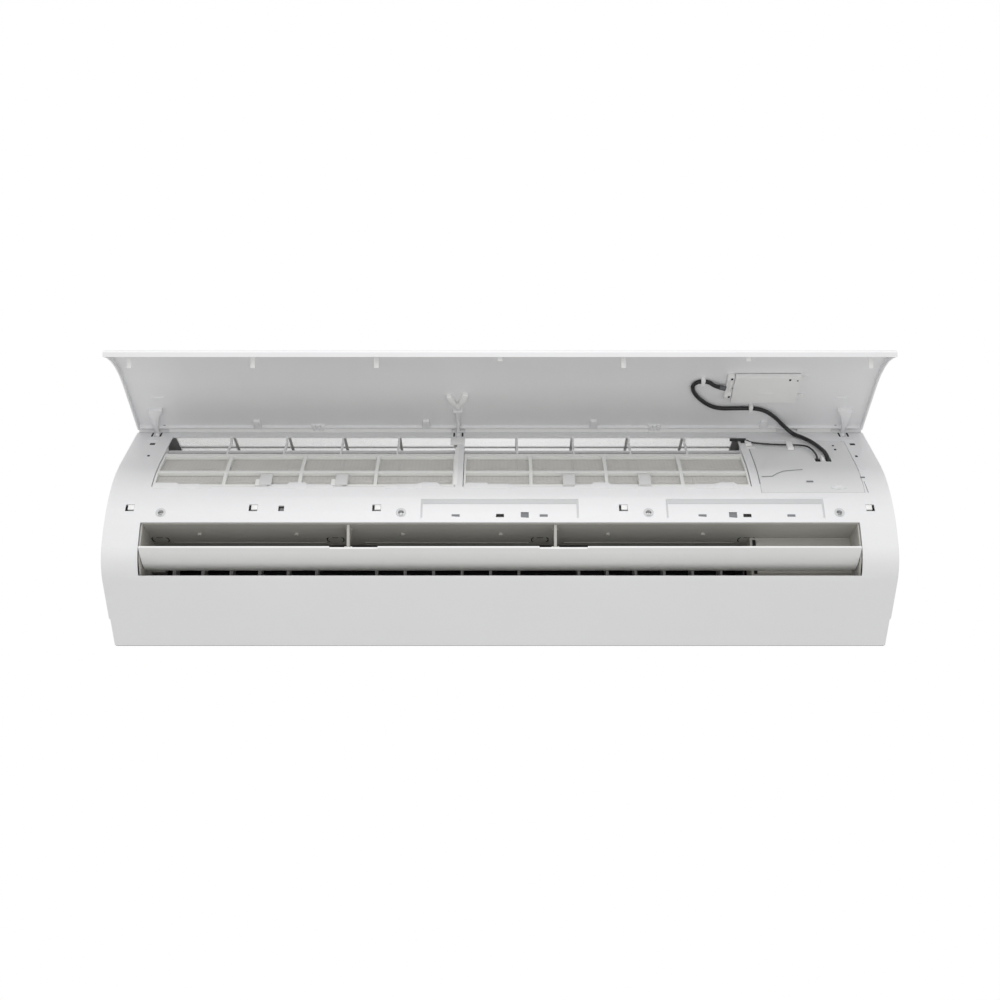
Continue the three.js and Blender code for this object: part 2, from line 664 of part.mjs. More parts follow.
// The display's box is a shallow cup with the board inside, closed by the panel.
function displayBox() {
  const [x0, x1] = DISPLAY_SPAN;
  const top = -PANEL_STANDOFF + DISPLAY_SEAT;
  const floor = top + DISPLAY_HEIGHT;
  const body = prism(band(DISPLAY_TOP, DISPLAY_BOTTOM, top, floor), x0, x1);
  const wall = DISPLAY_WALL;
  const cavity = band(DISPLAY_TOP + wall, DISPLAY_BOTTOM - wall, top - 1, floor - wall);
  const hollow = prism(cavity, x0 + wall, x1 - wall);
  const [middle, long] = [(DISPLAY_TOP + DISPLAY_BOTTOM) / 2, DISPLAY_BOTTOM - DISPLAY_TOP];
  const bracket = faceBox(x0 - 5, middle, 11, long - 10, top, top + 2);
  const ears = [DISPLAY_TOP + 10, DISPLAY_BOTTOM - 10].map((at) => faceBox(x1 + 4, at, 9, 8, top, top + 2));
  const bosses = [DISPLAY_TOP + 13, DISPLAY_BOTTOM - 13].map((at) => faceRod(x0 - 6, at, 3, top, top + 4));
  const entry = faceBox(x0, 112, 6, 5, top - 1, top + 2.4);
  return cut(join(body, bracket, ears, bosses), hollow, entry);
}

function displayBoard() {
  const [x0, x1] = DISPLAY_SPAN;
  const top = -PANEL_STANDOFF + DISPLAY_SEAT + DISPLAY_HEIGHT - DISPLAY_WALL - GAP - BOARD_THICK;
  const board = prism(band(DISPLAY_TOP + 3, DISPLAY_BOTTOM - 3, top, top + BOARD_THICK), x0 + 3, x1 - 3);
  const digits = [360, 384].map((x) => faceBox(x, 104, 16, 24, top - 1.6, top + 0.5));
  const receiver = faceBox(412, 112, 8, 8, top - 1.8, top + 0.5);
  return join(board, digits, receiver);
}

node("front_panel", frontPanel(), plastic(WHITE), panel);
node("display_box", displayBox(), plastic(FRAME_WHITE), panel);
node("display_board", displayBoard(), plastic(0x2f6b45, 0.6), panel);

// ---- Air filters -------------------------------------------------------------------------

function filterFrame([x0, x1]) {
  const [left, right] = [x0 + 1, x1 - 1];
  const inner = FILTER_FACE + FILTER_DEEP;
  const slab = prism(band(FILTER_TOP, FILTER_BOTTOM, FILTER_FACE, inner), left, right);
  const middle = (x0 + x1) / 2 - (x0 < -100 ? 6 : 0);
  const uprights = spread(middle - FILTER_PITCH, FILTER_PITCH, 3);
  const edges = [left - FILTER_RIB / 2 + 3, ...uprights, right + FILTER_RIB / 2 - 3];
  const rows = [[FILTER_TOP + 11, FILTER_MID_AT], [FILTER_MID_AT + 7, FILTER_BOTTOM - 5]];
  const cells = [];
  for (let i = 0; i + 1 < edges.length; i++) {
    for (const [from, to] of rows) {
      const xs = [edges[i] + FILTER_RIB / 2, edges[i + 1] - FILTER_RIB / 2];
      cells.push(prism(band(from, to, -3, inner + 2), ...xs));
    }
  }
  const tabs = [middle - FILTER_PITCH / 2, middle + FILTER_PITCH / 2]
    .map((x) => faceBox(x, FILTER_BOTTOM - 7.5, 17, 14, -0.9, FILTER_FACE + 1));
  return join(cut(slab, cells), tabs);
}

function filterNet([x0, x1]) {
  const outer = FILTER_FACE + FILTER_DEEP + GAP;
  return prism(band(FILTER_TOP + 2, FILTER_BOTTOM - 2, outer, outer + 0.6), x0 + 2, x1 - 2);
}

for (const [side, window] of [["left", LEFT_WINDOW], ["right", RIGHT_WINDOW]]) {
  node(`${side}_filter_frame`, filterFrame(window), plastic(FRAME_WHITE));
  node(`${side}_filter_net`, filterNet(window), plastic(GREY, 0.8));
}

// ---- Louver, drawn shut ------------------------------------------------------------------

const LOUVER_EAR_XS = BRACKET_XS.flatMap((x) => {
  const offset = (BRACKET_WIDTH + EAR_WIDTH) / 2 + GAP;
  return [x - offset, x + offset];
});
const LOUVER_END_XS = [-LOUVER_HALF + EAR_WIDTH / 2, LOUVER_HALF - EAR_WIDTH / 2];

function louverEar(x) {
  const high = facePoint(NOSE_AT - 14, 1.5);
  const low = facePoint(NOSE_AT + 14, 1.5);
  const plate = [[high.y, high.z], [low.y, low.z],
    [LOUVER_PIVOT_Y, LOUVER_PIVOT_Z - 4.5], [LOUVER_PIVOT_Y, LOUVER_PIVOT_Z + 4.5]];
  const xs = [x - EAR_WIDTH / 2, x + EAR_WIDTH / 2];
  return [prism(plate, ...xs), rod([LOUVER_PIVOT_Y, LOUVER_PIVOT_Z], 4.8, xs, 10)];
}

function louverBlade() {
  const from = OUTLET_TOP + LOUVER_EDGE_GAP;
  const to = OUTLET_BOTTOM - LOUVER_EDGE_GAP;
  const blade = prism(band(from, to, 0, LOUVER_THICK), -LOUVER_HALF, LOUVER_HALF);
  const notches = BRACKET_XS.map((x) =>
    faceBox(x + NOTCH_OFFSET, from, NOTCH_WIDTH, 2 * NOTCH_DEPTH, -3, LOUVER_THICK + 2));
  const ears = [...LOUVER_EAR_XS, ...LOUVER_END_XS].map(louverEar).flat();
  const pivot = [LOUVER_PIVOT_Y, LOUVER_PIVOT_Z];
  const bridge = BRACKET_WIDTH / 2 + GAP + EAR_WIDTH / 2;
  const pins = BRACKET_XS.map((x) => rod(pivot, LOUVER_PIN_RADIUS, [x - bridge, x + bridge], 12));
  const stubs = [[-OUTLET_HALF - 2, -LOUVER_HALF + 1], [LOUVER_HALF - 1, OUTLET_HALF + 2]]
    .map((xs) => rod(pivot, LOUVER_PIN_RADIUS, xs, 12));
  return join(cut(blade, notches), ears, pins, stubs);
}

node("horizontal_louver", louverBlade(), plastic(WHITE), louver);

// ---- Duct with drip tray, ceiling, floor and cheeks ----------------------------------------

function vaneXs(first) {
  return spread(first, VANE_PITCH, VANES_PER_GROUP);
}

function outletDuct() {
  const half = OUTLET_HALF;
  const lip = facePoint(OUTLET_TOP + 1, WALL + GAP + WALL / 2);
  const step = [[FLOOR_FRONT_Y, FLOOR_STEP_Z], [FLOOR_STEP_YS[0], FLOOR_STEP_Z], [FLOOR_STEP_YS[1], FLOOR_Z]];
  const cheekLine = [[lip.y + 0.5, CEILING_Z], [TONGUE_Y, CEILING_Z], [VANE_REAR_Y - 1, -40],
    [VANE_REAR_Y - 1, FLOOR_Z], step[1], step[0], [-218.5, FLOOR_Z], [-231, -80], [-235.5, -61]];
  const floorLine = [...step, [VANE_REAR_Y - 1, FLOOR_Z]].map(([y, z]) => [y, z - WALL / 2]);
  const cheeks = [[-half, -half + WALL], [half - WALL, half]].map((xs) => prism(cheekLine, ...xs));
  const pieces = [
    sheet([[lip.y, CEILING_Z], [TONGUE_Y, CEILING_Z], [TRAY_REAR_Y, TRAY_REAR_Z]], WALL, -half, half),
    sheet([[TRAY_FRONT_Y, CEILING_Z], [TRAY_FRONT_Y, TRAY_TOP_Z]], 2, -half, half),
    sheet(floorLine, WALL, -half, half),
    ...cheeks,
    blankOff(),
  ];
  const trayEnds = [[-half, -half + WALL], [half - WALL, half]].map((xs) =>
    box(xs, [TRAY_FRONT_Y, TRAY_REAR_Y], [CEILING_Z, TRAY_END_Z]));
  const cupEnd = SCREW_SEAT + CUP_FLOOR;
  const screwBosses = SCREW_XS.map((x) => faceRod(x, SCREW_AT, 4.5, cupEnd + GAP, SCREW_SEAT + 16));
  const screwBores = SCREW_XS.map((x) =>
    faceRod(x, SCREW_AT, SCREW_SHANK_RADIUS + GAP, SCREW_SEAT, SCREW_SEAT + 17, 8));
  const bosses = BOSS_XS.map((x) => post([x, -195], 3, [CEILING_Z - 4, CEILING_Z]));
  const sockets = [-1, 1].map((side) => {
    const xs = [side * (half - WALL - 1), side * (half + 3)].sort((a, b) => a - b);
    return rod([LOUVER_PIVOT_Y, LOUVER_PIVOT_Z], LOUVER_PIN_RADIUS + GAP, xs, 12);
  });
  const holes = VANE_GROUPS.flatMap(vaneXs).map((x) =>
    post([x, VANE_PIVOT_Y], VANE_PIN_RADIUS + GAP, [FLOOR_Z - 2 * WALL, FLOOR_Z + 1], 6));
  return cut(join(pieces[0], pieces.slice(1), trayEnds, bosses, screwBosses), sockets, holes, screwBores);
}

// The blank that fills the outlet beside the blower, over the motor's chamber.
function blankOff() {
  const front = sheet([[BLANK_Y, CEILING_Z], [BLANK_Y, FLOOR_Z - 1]], WALL, DUCT_RIGHT, OUTLET_HALF - 1);
  const outline = [[BLANK_Y, CEILING_Z], [TONGUE_Y, CEILING_Z], [VANE_REAR_Y - 1, -40],
    [VANE_REAR_Y - 1, FLOOR_Z - 1], [BLANK_Y, FLOOR_Z - 1]];
  const side = prism(outline, DUCT_RIGHT, DUCT_RIGHT + WALL);
  return front.add(side);
}

// A hanger under the ceiling that carries the middle of the louver.
function louverBracket(x) {
  const top = CEILING_Z - WALL / 2 - GAP;
  const [y, z] = [LOUVER_PIVOT_Y, LOUVER_PIVOT_Z];
  const plate = [[y - 14, top], [y + 20, top], [y + 12, top - 12], [y + 6, z - 2],
    [y, z - 6], [y - 5, z - 4], [y - 6, z + 4]];
  const foot = box([x - 4.5, x + 4.5], [y, y + 16], [top - 2, top]);
  const half = BRACKET_WIDTH / 2;
  const hanger = prism(plate, x - half, x + half).add(foot);
  return cut(hanger, rod([y, z], LOUVER_PIN_RADIUS + GAP, [x - 5, x + 5], 12));
}

node("outlet_duct", outletDuct(), plastic(GREY));
BRACKET_XS.forEach((x, i) => node(`louver_bracket_${i + 1}`, louverBracket(x), plastic(GREY)));

function louverMotor() {
  const x0 = OUTLET_HALF + 2 + GAP;
  const [y, z] = [LOUVER_PIVOT_Y, LOUVER_PIVOT_Z];
  const body = rod([y + 6, z], 13, [x0, x0 + 16], 20);
  const lugs = box([x0, x0 + 1.5], [y + 2, y + 10], [z - 19, z + 19]);
  const plug = box([x0 + 3, x0 + 13], [y + 16, y + 26], [z - 6, z + 6]);
  return join(body, lugs, plug);
}

node("louver_motor", louverMotor(), metal(STEEL));

// ---- Vertical vanes and their link bars ----------------------------------------------------

function verticalVane() {
  const half = VANE_THICK / 2;
  const low = FLOOR_Z + VANE_LIFT;
  const high = low + VANE_HEIGHT;
  const [front, rear] = [VANE_FRONT_Y - VANE_PIVOT_Y, VANE_REAR_Y - VANE_PIVOT_Y];
  const outline = [[front, low], [rear, low], [rear, high - 4], [rear - 6, high], [front + 4, high]];
  const plate = prism(outline, -half, half);
  const hub = post([0, 0], 3.4, [FLOOR_Z + GAP, low + 3], 6);
  const pin = post([0, 0], VANE_PIN_RADIUS, [FLOOR_Z - WALL, FLOOR_Z + 1], 6);
  return join(plate, hub, pin);
}

// A bar with a pair of posts at each vane, so that the whole group swings together.
function linkBar(xs) {
  const y = VANE_PIVOT_Y - LINK_REACH;
  const low = FLOOR_Z + GAP;
  const top = low + LINK_THICK;
  const bar = box([xs[0] - 14, xs[xs.length - 1] + 14], [y - LINK_WIDTH / 2, y + LINK_WIDTH / 2], [low, top]);
  const posts = xs.flatMap((x) => [-1, 1].map((side) => {
    const from = x + side * (LINK_POST_GAP / 2 + LINK_POST / 2);
    const reach = LINK_POST / 2;
    return box([from - reach, from + reach], [y - reach, y + reach], [top - 1, top + 6]);
  }));
  return join(bar, posts);
}

VANE_GROUPS.forEach((first, g) => {
  const xs = vaneXs(first);
  xs.forEach((x, i) => {
    const vane = node(`vane_${g + 1}_${i + 1}`, verticalVane(), plastic(GREY));
    vane.position.set(x, VANE_PIVOT_Y, 0);
  });
  node(`vane_link_${g + 1}`, linkBar(xs), plastic(GREY));
});

// ---- Blower ----------------------------------------------------------------------------

function fanRotor() {
  const centre = [FAN_Y, FAN_Z];
  const [x0, x1] = FAN_SPAN;
  const pitch = (x1 - x0 - FAN_DISC) / (FAN_INNER_DISCS + 1);
  const discs = spread(x0, pitch, FAN_INNER_DISCS + 2)
    .map((x) => rod(centre, FAN_RADIUS, [x, x + FAN_DISC], 36));
  const blades = [];
  for (let i = 0; i < FAN_BLADES; i++) {
    const angle = (360 * DEG * i) / FAN_BLADES;
    const middle = FAN_RADIUS - 1 - BLADE_DEPTH / 2;
    const blade = new THREE.BoxGeometry(x1 - x0 - 2, BLADE_DEPTH, BLADE_THICK);
    blade.rotateX(BLADE_LEAN).translate(0, middle, 0).rotateX(angle);
    blade.translate((x0 + x1) / 2, FAN_Y, FAN_Z);
    blades.push(toSolid(blade));
  }
  const hub = rod(centre, 14, [x1 - 12, x1 + 3], 20);
  const bore = rod(centre, SHAFT_RADIUS + GAP, [x1 - 10, x1 + 5], 12);
  const stub = rod(centre, SHAFT_RADIUS, [SIDE_WALL_LEFT - 4, x0 + 1], 12);
  return cut(join(hub, discs, blades, stub), bore);
}

function fanBearing() {
  const xs = [SIDE_WALL_LEFT + WALL / 2 - BEARING_LENGTH / 2, SIDE_WALL_LEFT + WALL / 2 + BEARING_LENGTH / 2];
  const ring = rod([FAN_Y, FAN_Z], BEARING_RADIUS, xs, 20);
  return cut(ring, rod([FAN_Y, FAN_Z], SHAFT_RADIUS + GAP, [xs[0] - 2, xs[1] + 2], 12));
}

function fanMotor() {
  const centre = [FAN_Y, FAN_Z];
  const [x0, x1] = MOTOR_SPAN;
  const body = rod(centre, MOTOR_RADIUS, [x0, x1], 28);
  const noses = [rod(centre, 16, [x0 - 5, x1 + 6], 20)];
  const shaft = rod(centre, SHAFT_RADIUS, [FAN_SPAN[1] - 8, x0 + 2], 12);
  return join(body, noses, shaft);
}

// Half a ring over the motor, with feet on the saddle.
function motorRing(upper) {
  const middle = (MOTOR_SPAN[0] + MOTOR_SPAN[1]) / 2;
  const xs = [middle - CLAMP_WIDTH / 2, middle + CLAMP_WIDTH / 2];
  const outer = MOTOR_RADIUS + GAP + CLAMP_THICK;
  const foot = outer + 14;
  const seam = FAN_Z;
  const zs = upper ? [seam + GAP / 2, seam + CLAMP_THICK] : [seam - CLAMP_THICK, seam - GAP / 2];
  const half = upper ? [seam + GAP / 2, seam + outer + 1] : [seam - outer - 1, seam - GAP / 2];
  const side = box([xs[0] - 1, xs[1] + 1], [FAN_Y - foot, FAN_Y + foot], half);
  const ring = rod([FAN_Y, FAN_Z], outer, xs, 28).intersect(side);
  const feet = box(xs, [FAN_Y - foot, FAN_Y + foot], zs);
  return cut(join(ring, feet), rod([FAN_Y, FAN_Z], MOTOR_RADIUS + GAP, [xs[0] - 2, xs[1] + 2], 28));
}

node("fan_rotor", fanRotor(), plastic(0x2c2e30, 0.55));
node("fan_bearing", fanBearing(), plastic(BLACK, 0.8));
node("fan_motor", fanMotor(), plastic(0x8e9194, 0.5));
node("motor_clamp", motorRing(true), metal(STEEL));

// ---- Heat exchanger and its pipes ----------------------------------------------------------

function coilSection(thickness) {
  return [...besideLine(COIL_LINE, -thickness / 2), ...besideLine(COIL_LINE, thickness / 2).reverse()];
}

// A point part of the way along the coil's centre line, moved across it.
function coilPoint(share, across = 0) {
  const legs = COIL_LINE.slice(1).map((b, i) => [COIL_LINE[i], b]);
  const lengths = legs.map(([a, b]) => Math.hypot(b[0] - a[0], b[1] - a[1]));
  let left = share * lengths.reduce((sum, one) => sum + one, 0);
  for (let i = 0; i < legs.length; i++) {
    if (left <= lengths[i] || i === legs.length - 1) {
      const [a, b] = legs[i];
      const run = [(b[0] - a[0]) / lengths[i], (b[1] - a[1]) / lengths[i]];
      return [a[0] + run[0] * left - run[1] * across, a[1] + run[1] * left + run[0] * across];
    }
    left -= lengths[i];
  }
}

// An end plate with the return bends of the tubes that pass through it.
function endPlate(x0, x1, outwards, shares) {
  const plate = prism(coilSection(COIL_THICK + 3), x0, x1);
  const face = outwards < 0 ? x0 : x1;
  const bends = shares.map((share) => {
    const [a, b] = [coilPoint(share, 6), coilPoint(share + 0.06, -6)];
    const reach = face + outwards * 9;
    const inner = face - outwards * 0.7;
    const crown = [reach, (a[0] + b[0]) / 2, (a[1] + b[1]) / 2];
    const points = [[inner, ...a], [face + outwards * 4, ...a], crown,
      [face + outwards * 4, ...b], [inner, ...b]];
    return tube(points, TUBE_RADIUS, 6, 6);
  });
  return join(plate, bends);
}

const [COIL_X0, COIL_X1] = COIL_SPAN;
node("evaporator_coil", prism(coilSection(COIL_THICK), COIL_X0, COIL_X1), metal(ALUMINIUM, 0.5));
const leftPlate = endPlate(COIL_X0 - GAP - END_PLATE, COIL_X0 - GAP, -1, LEFT_BENDS);
const rightPlate = endPlate(COIL_X1 + GAP, COIL_X1 + GAP + END_PLATE, 1, RIGHT_BENDS);
node("coil_end_plate_left", leftPlate, metal(STEEL));
node("coil_end_plate_right", rightPlate, metal(STEEL));

// A copper pipe from the coil's right end plate, down behind and left along the recess.
function copperPipe({ radius, z, share, end }, turn) {
  const [y0, z0] = coilPoint(share);
  const start = COIL_X1 + 2 * GAP + END_PLATE;
  const points = [[start, y0, z0], [start + turn - 6, y0, z0], [start + turn, y0 + 4, z0 - 6],
    [start + turn, PIPE_Y, 20], [start + turn, PIPE_Y, z + 14], [start + turn - 8, PIPE_Y, z + 2],
    [start + turn - 20, PIPE_Y, z], [(start + end) / 2, PIPE_Y, z], [end, PIPE_Y, z]];
  return tube(points, radius, 8, 26);
}

function flareNut({ radius, z, end }) {
  const nut = rod([PIPE_Y, z], radius * 1.75, [end - 16 - GAP, end - GAP], 6);
  const cone = rod([PIPE_Y, z], radius * 0.7, [end - 18, end], 8);
  return cut(nut, cone.intersect(rod([PIPE_Y, z], radius * 0.7, [end - 17, end - 8], 8)));
}

node("liquid_pipe", copperPipe(LIQUID, 12), metal(COPPER));
node("suction_pipe", copperPipe(SUCTION, 23), metal(COPPER));
node("liquid_flare_nut", flareNut(LIQUID), metal(BRASS));
node("suction_flare_nut", flareNut(SUCTION), metal(BRASS));

// ---- Rear chassis ------------------------------------------------------------------------

function chassisWall(x0, x1) {
  const under = besideLine(COIL_LINE, -COIL_THICK / 2 - GAP);
  const arch = [[WALL_FRONT_Y, under[1][1] - 4], ...under.slice(1)];
  const line = [...arch, [-13, 60], [-13, RECESS_TOP_Z], ...SCROLL.slice(3), [VANE_REAR_Y + 2, -40],
    [WALL_FRONT_Y + 10, -16], [WALL_FRONT_Y, -2]];
  return prism(line, x0, x1);
}

function rearChassis() {
  const half = HALF_WIDTH - WALL - GAP;
  const bottom = facePoint(EDGE_AT, WALL + GAP + 1);
  const rearLow = [REAR_BEND_Y, BOTTOM_Z + REAR_BEND_RISE + WALL / 2];
  const rearEnd = [BACK_Y, BOTTOM_Z + REAR_RISE - 4];
  const underside = [[bottom.y + 2, -100], [bottom.y + 2, BOTTOM_Z + 2], rearLow, rearEnd];
  const lipZ = TOP_Z - WALL - GAP - 1.5;
  const back = [SCROLL[3], [BACK_Y, RECESS_TOP_Z], [BACK_Y, lipZ], [BACK_Y - 5, lipZ]];
  const walls = [[SIDE_WALL_LEFT, SIDE_WALL_LEFT + WALL], [SIDE_WALL_RIGHT, SIDE_WALL_RIGHT + WALL]];
  const ends = [[-half, -half + WALL], [half - WALL, half]].map((xs) =>
    prism([[BACK_Y, RECESS_TOP_Z], ...underside.slice().reverse(), SCROLL[4], SCROLL[3]], ...xs));
  const saddle = motorRing(false);
  const middle = (MOTOR_SPAN[0] + MOTOR_SPAN[1]) / 2;
  const saddleXs = [middle - CLAMP_WIDTH / 2, middle + CLAMP_WIDTH / 2];
  const legs = box(saddleXs, [FAN_Y + MOTOR_RADIUS + 2, BACK_Y], [FAN_Z - 6, FAN_Z - GAP / 2]);
  const shell = join(
    sheet(back, WALL, -half, half),
    sheet(underside, WALL, -half, half),
    sheet([SCROLL[3], SCROLL[4], [bottom.y + 2, -92]], WALL, -half, half),
    sheet(SCROLL, WALL, SIDE_WALL_LEFT, SIDE_WALL_RIGHT + WALL),
    walls.map((xs) => chassisWall(...xs)),
    ends, saddle, legs,
    rod([FAN_Y, FAN_Z], BEARING_RADIUS + 3, [SIDE_WALL_LEFT - 3, SIDE_WALL_LEFT + 5], 20),
  );
  const slots = PLATE_HOOK_XS.map((x) => {
    const reach = PLATE_HOOK_WIDTH / 2 + 2;
    return box([x - reach, x + reach], [BACK_Y - 3, BACK_Y + 3], [PLATE_TOP - 6, PLATE_TOP + 1]);
  });
  const holes = [
    rod([FAN_Y, FAN_Z], BEARING_RADIUS + GAP, [SIDE_WALL_LEFT - 5, SIDE_WALL_LEFT + 8], 20),
    rod([FAN_Y, FAN_Z], 20, [SIDE_WALL_RIGHT - 2, SIDE_WALL_RIGHT + 5], 20),
  ];
  const pipeXs = [SIDE_WALL_RIGHT + WALL + 4, (MOTOR_SPAN[0] + MOTOR_SPAN[1] - CLAMP_WIDTH) / 2 - 0.5];
  const pipeGap = box(pipeXs, [PIPE_Y - 12, PIPE_Y + 10], [RECESS_TOP_Z - 6, RECESS_TOP_Z + 6]);
  return cut(shell, slots, holes, pipeGap);
}

node("rear_chassis", rearChassis(), plastic(CHARCOAL));

// ---- Mounting plate ------------------------------------------------------------------------

function mountingPlate() {
  const face = -PLATE_THICK;
  const plate = box([-PLATE_HALF, PLATE_HALF], [face, 0], [PLATE_BOTTOM, PLATE_TOP]);
  const windows = [-1, 1].flatMap((side) => [110, 290].map((x) =>
    box([side * x - 55, side * x + 55], [face - 1, 1], [PLATE_BOTTOM + 40, PLATE_TOP - 48])));
  const screwHoles = [-400, -200, 200, 400].map((x) => {
    const hole = new THREE.CylinderGeometry(3, 3, 6, 10).translate(x, 0, PLATE_TOP - 20);
    return toSolid(hole);
  });
  const inner = BACK_Y - WALL / 2 - GAP;
  const hooks = PLATE_HOOK_XS.flatMap((x) => {
    const xs = [x - PLATE_HOOK_WIDTH / 2, x + PLATE_HOOK_WIDTH / 2];
    return [
      box(xs, [inner - PLATE_THICK, 0], [PLATE_TOP - PLATE_THICK, PLATE_TOP]),
      box(xs, [inner - PLATE_THICK, inner], [PLATE_TOP - PLATE_THICK, PLATE_TOP + 12]),
    ];
  });
  const lowerTabs = [-300, 300].map((x) =>
    box([x - 20, x + 20], [BACK_Y + WALL / 2 + GAP, 0], [PLATE_BOTTOM, PLATE_BOTTOM + PLATE_THICK]));
  return join(cut(plate, windows, screwHoles), hooks, lowerTabs);
}

node("mounting_plate", mountingPlate(), metal(STEEL, 0.5));

// ---- Electrics -----------------------------------------------------------------------------

function controlBox() {
  const [x0, x1] = BOX_SPAN;
  const tray = box(BOX_SPAN, [BOX_FRONT_Y, BOX_BACK_Y], [BOX_LOW_Z, BOX_TOP_Z]);
  const zs = [BOX_LOW_Z + 1.5, BOX_TOP_Z - 1.5];
  const hollow = box([x0 + 1.5, x1 - 1.5], [BOX_FRONT_Y - 2, BOX_BACK_Y - 1.5], zs);
  const reach = [BOX_BACK_Y - 2, BACK_Y - WALL / 2 - GAP];
  const arm = box([x1 - 50, x1 - 4], reach, [BOX_TOP_Z + 12, BOX_TOP_Z + 14]);
  const riser = box([x1 - 50, x1 - 4], [BOX_BACK_Y - 2, BOX_BACK_Y], [BOX_TOP_Z - 4, BOX_TOP_Z + 14]);
  return join(cut(tray, hollow), riser, arm);
}

function controlBoard() {
  const [x0, x1] = BOX_SPAN;
  const back = BOX_BACK_Y - 1.5 - GAP;
  const board = box([x0 + 4, x1 - 4], [back - 6, back - 4.4], [BOX_LOW_Z + 4, BOX_TOP_Z - 4]);
  const feet = [[x0 + 10, 16], [x1 - 10, 16], [x0 + 10, 54], [x1 - 10, 54]].map(([x, z]) =>
    box([x - 3, x + 3], [back - 5, back], [z - 3, z + 3]));
  const parts = [[6, 8, 22, 30, 26], [32, 10, 14, 22, 30], [50, 6, 22, 16, 18], [54, 28, 18, 12, 14]].map(
    ([x, z, wide, deep, high]) =>
      box([x0 + x, x0 + x + wide], [back - 5.6 - deep, back - 5.6], [BOX_LOW_Z + z, BOX_LOW_Z + z + high]));
  return join(board, feet, parts);
}

function terminalBlock() {
  const z = BOX_TOP_Z + 14 + GAP;
  const base = box([482, 520], [-96, -72], [z, z + 12]);
  const slots = spread(487, 8, 4).map((x) => box([x, x + 5], [-97, -84], [z + 6, z + 14]));
  return cut(base, slots);
}

node("control_box", controlBox(), metal(STEEL, 0.45));
node("control_board", controlBoard(), plastic(0x2f6b45, 0.6));
node("terminal_block", terminalBlock(), plastic(BLACK, 0.6));

// ---- Leads -----------------------------------------------------------------------------------

// A point on the shut panel's inner side, turned open with it.
function onOpenPanel(x, at, height) {
  const { y, z } = facePoint(at, -PANEL_STANDOFF + height);
  const [dy, dz] = [y - HINGE_Y, z - HINGE_Z];
  const [c, s] = [Math.cos(-PANEL_OPEN), Math.sin(-PANEL_OPEN)];
  return [x, HINGE_Y + dy * c - dz * s, HINGE_Z + dy * s + dz * c];
}

// A point over the casing's face, `height` out from it.
function overFace(x, at, height) {
  const { y, z } = facePoint(at, -height);
  return [x, y, z];
}

function displayLead() {
  const low = LEAD_RADIUS + GAP;
  const route = [
    onOpenPanel(DISPLAY_SPAN[0] - 11.5, 116, low + 2.6),
    onOpenPanel(309, 121, low + 2),
    onOpenPanel(298, 127.5, low),
    onOpenPanel(285, 127.5, low),
    onOpenPanel(278, 117, low),
    onOpenPanel(283, 100, low),
    onOpenPanel(295, 83, low),
    onOpenPanel(308, 68, low),
    onOpenPanel(324, 61, low),
    onOpenPanel(346, 63, low),
    onOpenPanel(371, 62.5, low),
    onOpenPanel(388, 59, low + 0.5),
    onOpenPanel(406, 45, low + 2),
    onOpenPanel(421, 25, low + 6),
    overFace(434, 14, 8),
    overFace(446, 31, 7.5),
    overFace(456, 48, 7),
    overFace(464, 70, 8),
    overFace(469, 90, 6),
    overFace(DISPLAY_HOLE_X, 103, 0),
    overFace(DISPLAY_HOLE_X, 106, -9),
  ];
  return tube(route, LEAD_RADIUS, 8, 32);
}

function sensorLead() {
  const route = [
    overFace(362.5, 40, 3.4),
    overFace(371, 47, 2.6),
    overFace(395, 52, 2.2),
    overFace(425, 54, 2),
    overFace(442, 59, 3),
    overFace(450, 70, 4),
    overFace(455, 90, 3),
    overFace(SENSOR_HOLE_X, 103, -1),
    overFace(SENSOR_HOLE_X, 106, -8),
  ];
  return tube(route, SENSOR_LEAD_RADIUS, 8, 22);
}

// The room air sensor: a small bulb in a saddle on the header.
function roomSensor() {
  const saddle = faceBox(SENSOR_X, SENSOR_AT, 6, 8, -2.2, -GAP);
  const { y, z } = facePoint(SENSOR_AT, -3.6);
  const bulb = rod([y, z], 2.4, [SENSOR_X - 19, SENSOR_X + 4.5], 10);
  return saddle.add(bulb);
}

node("display_lead", displayLead(), plastic(BLACK, 0.6));
node("sensor_lead", sensorLead(), plastic(BLACK, 0.6));
node("room_sensor", roomSensor(), plastic(BLACK, 0.5));

export default unit;
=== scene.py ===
# %% [markdown]
# # A wall-mounted indoor unit with its front panel swung up
# The CAD frame already holds every moulding in its true place. In this lesson the frame's hard
# edges are rounded, each piece gets the finish of its real material, with painted shade in the
# outlet, and the small fittings that a moulder or fitter would add are modelled on top, together
# with dark and grey plates of painted shade and a few brighter white parts of painted highlight.
# Lengths are metres, as in the frame; small sizes are written in millimetres and multiplied by MM.

import json
import math

import bmesh
import bpy
from mathutils import Matrix, Vector
from mathutils.kdtree import KDTree


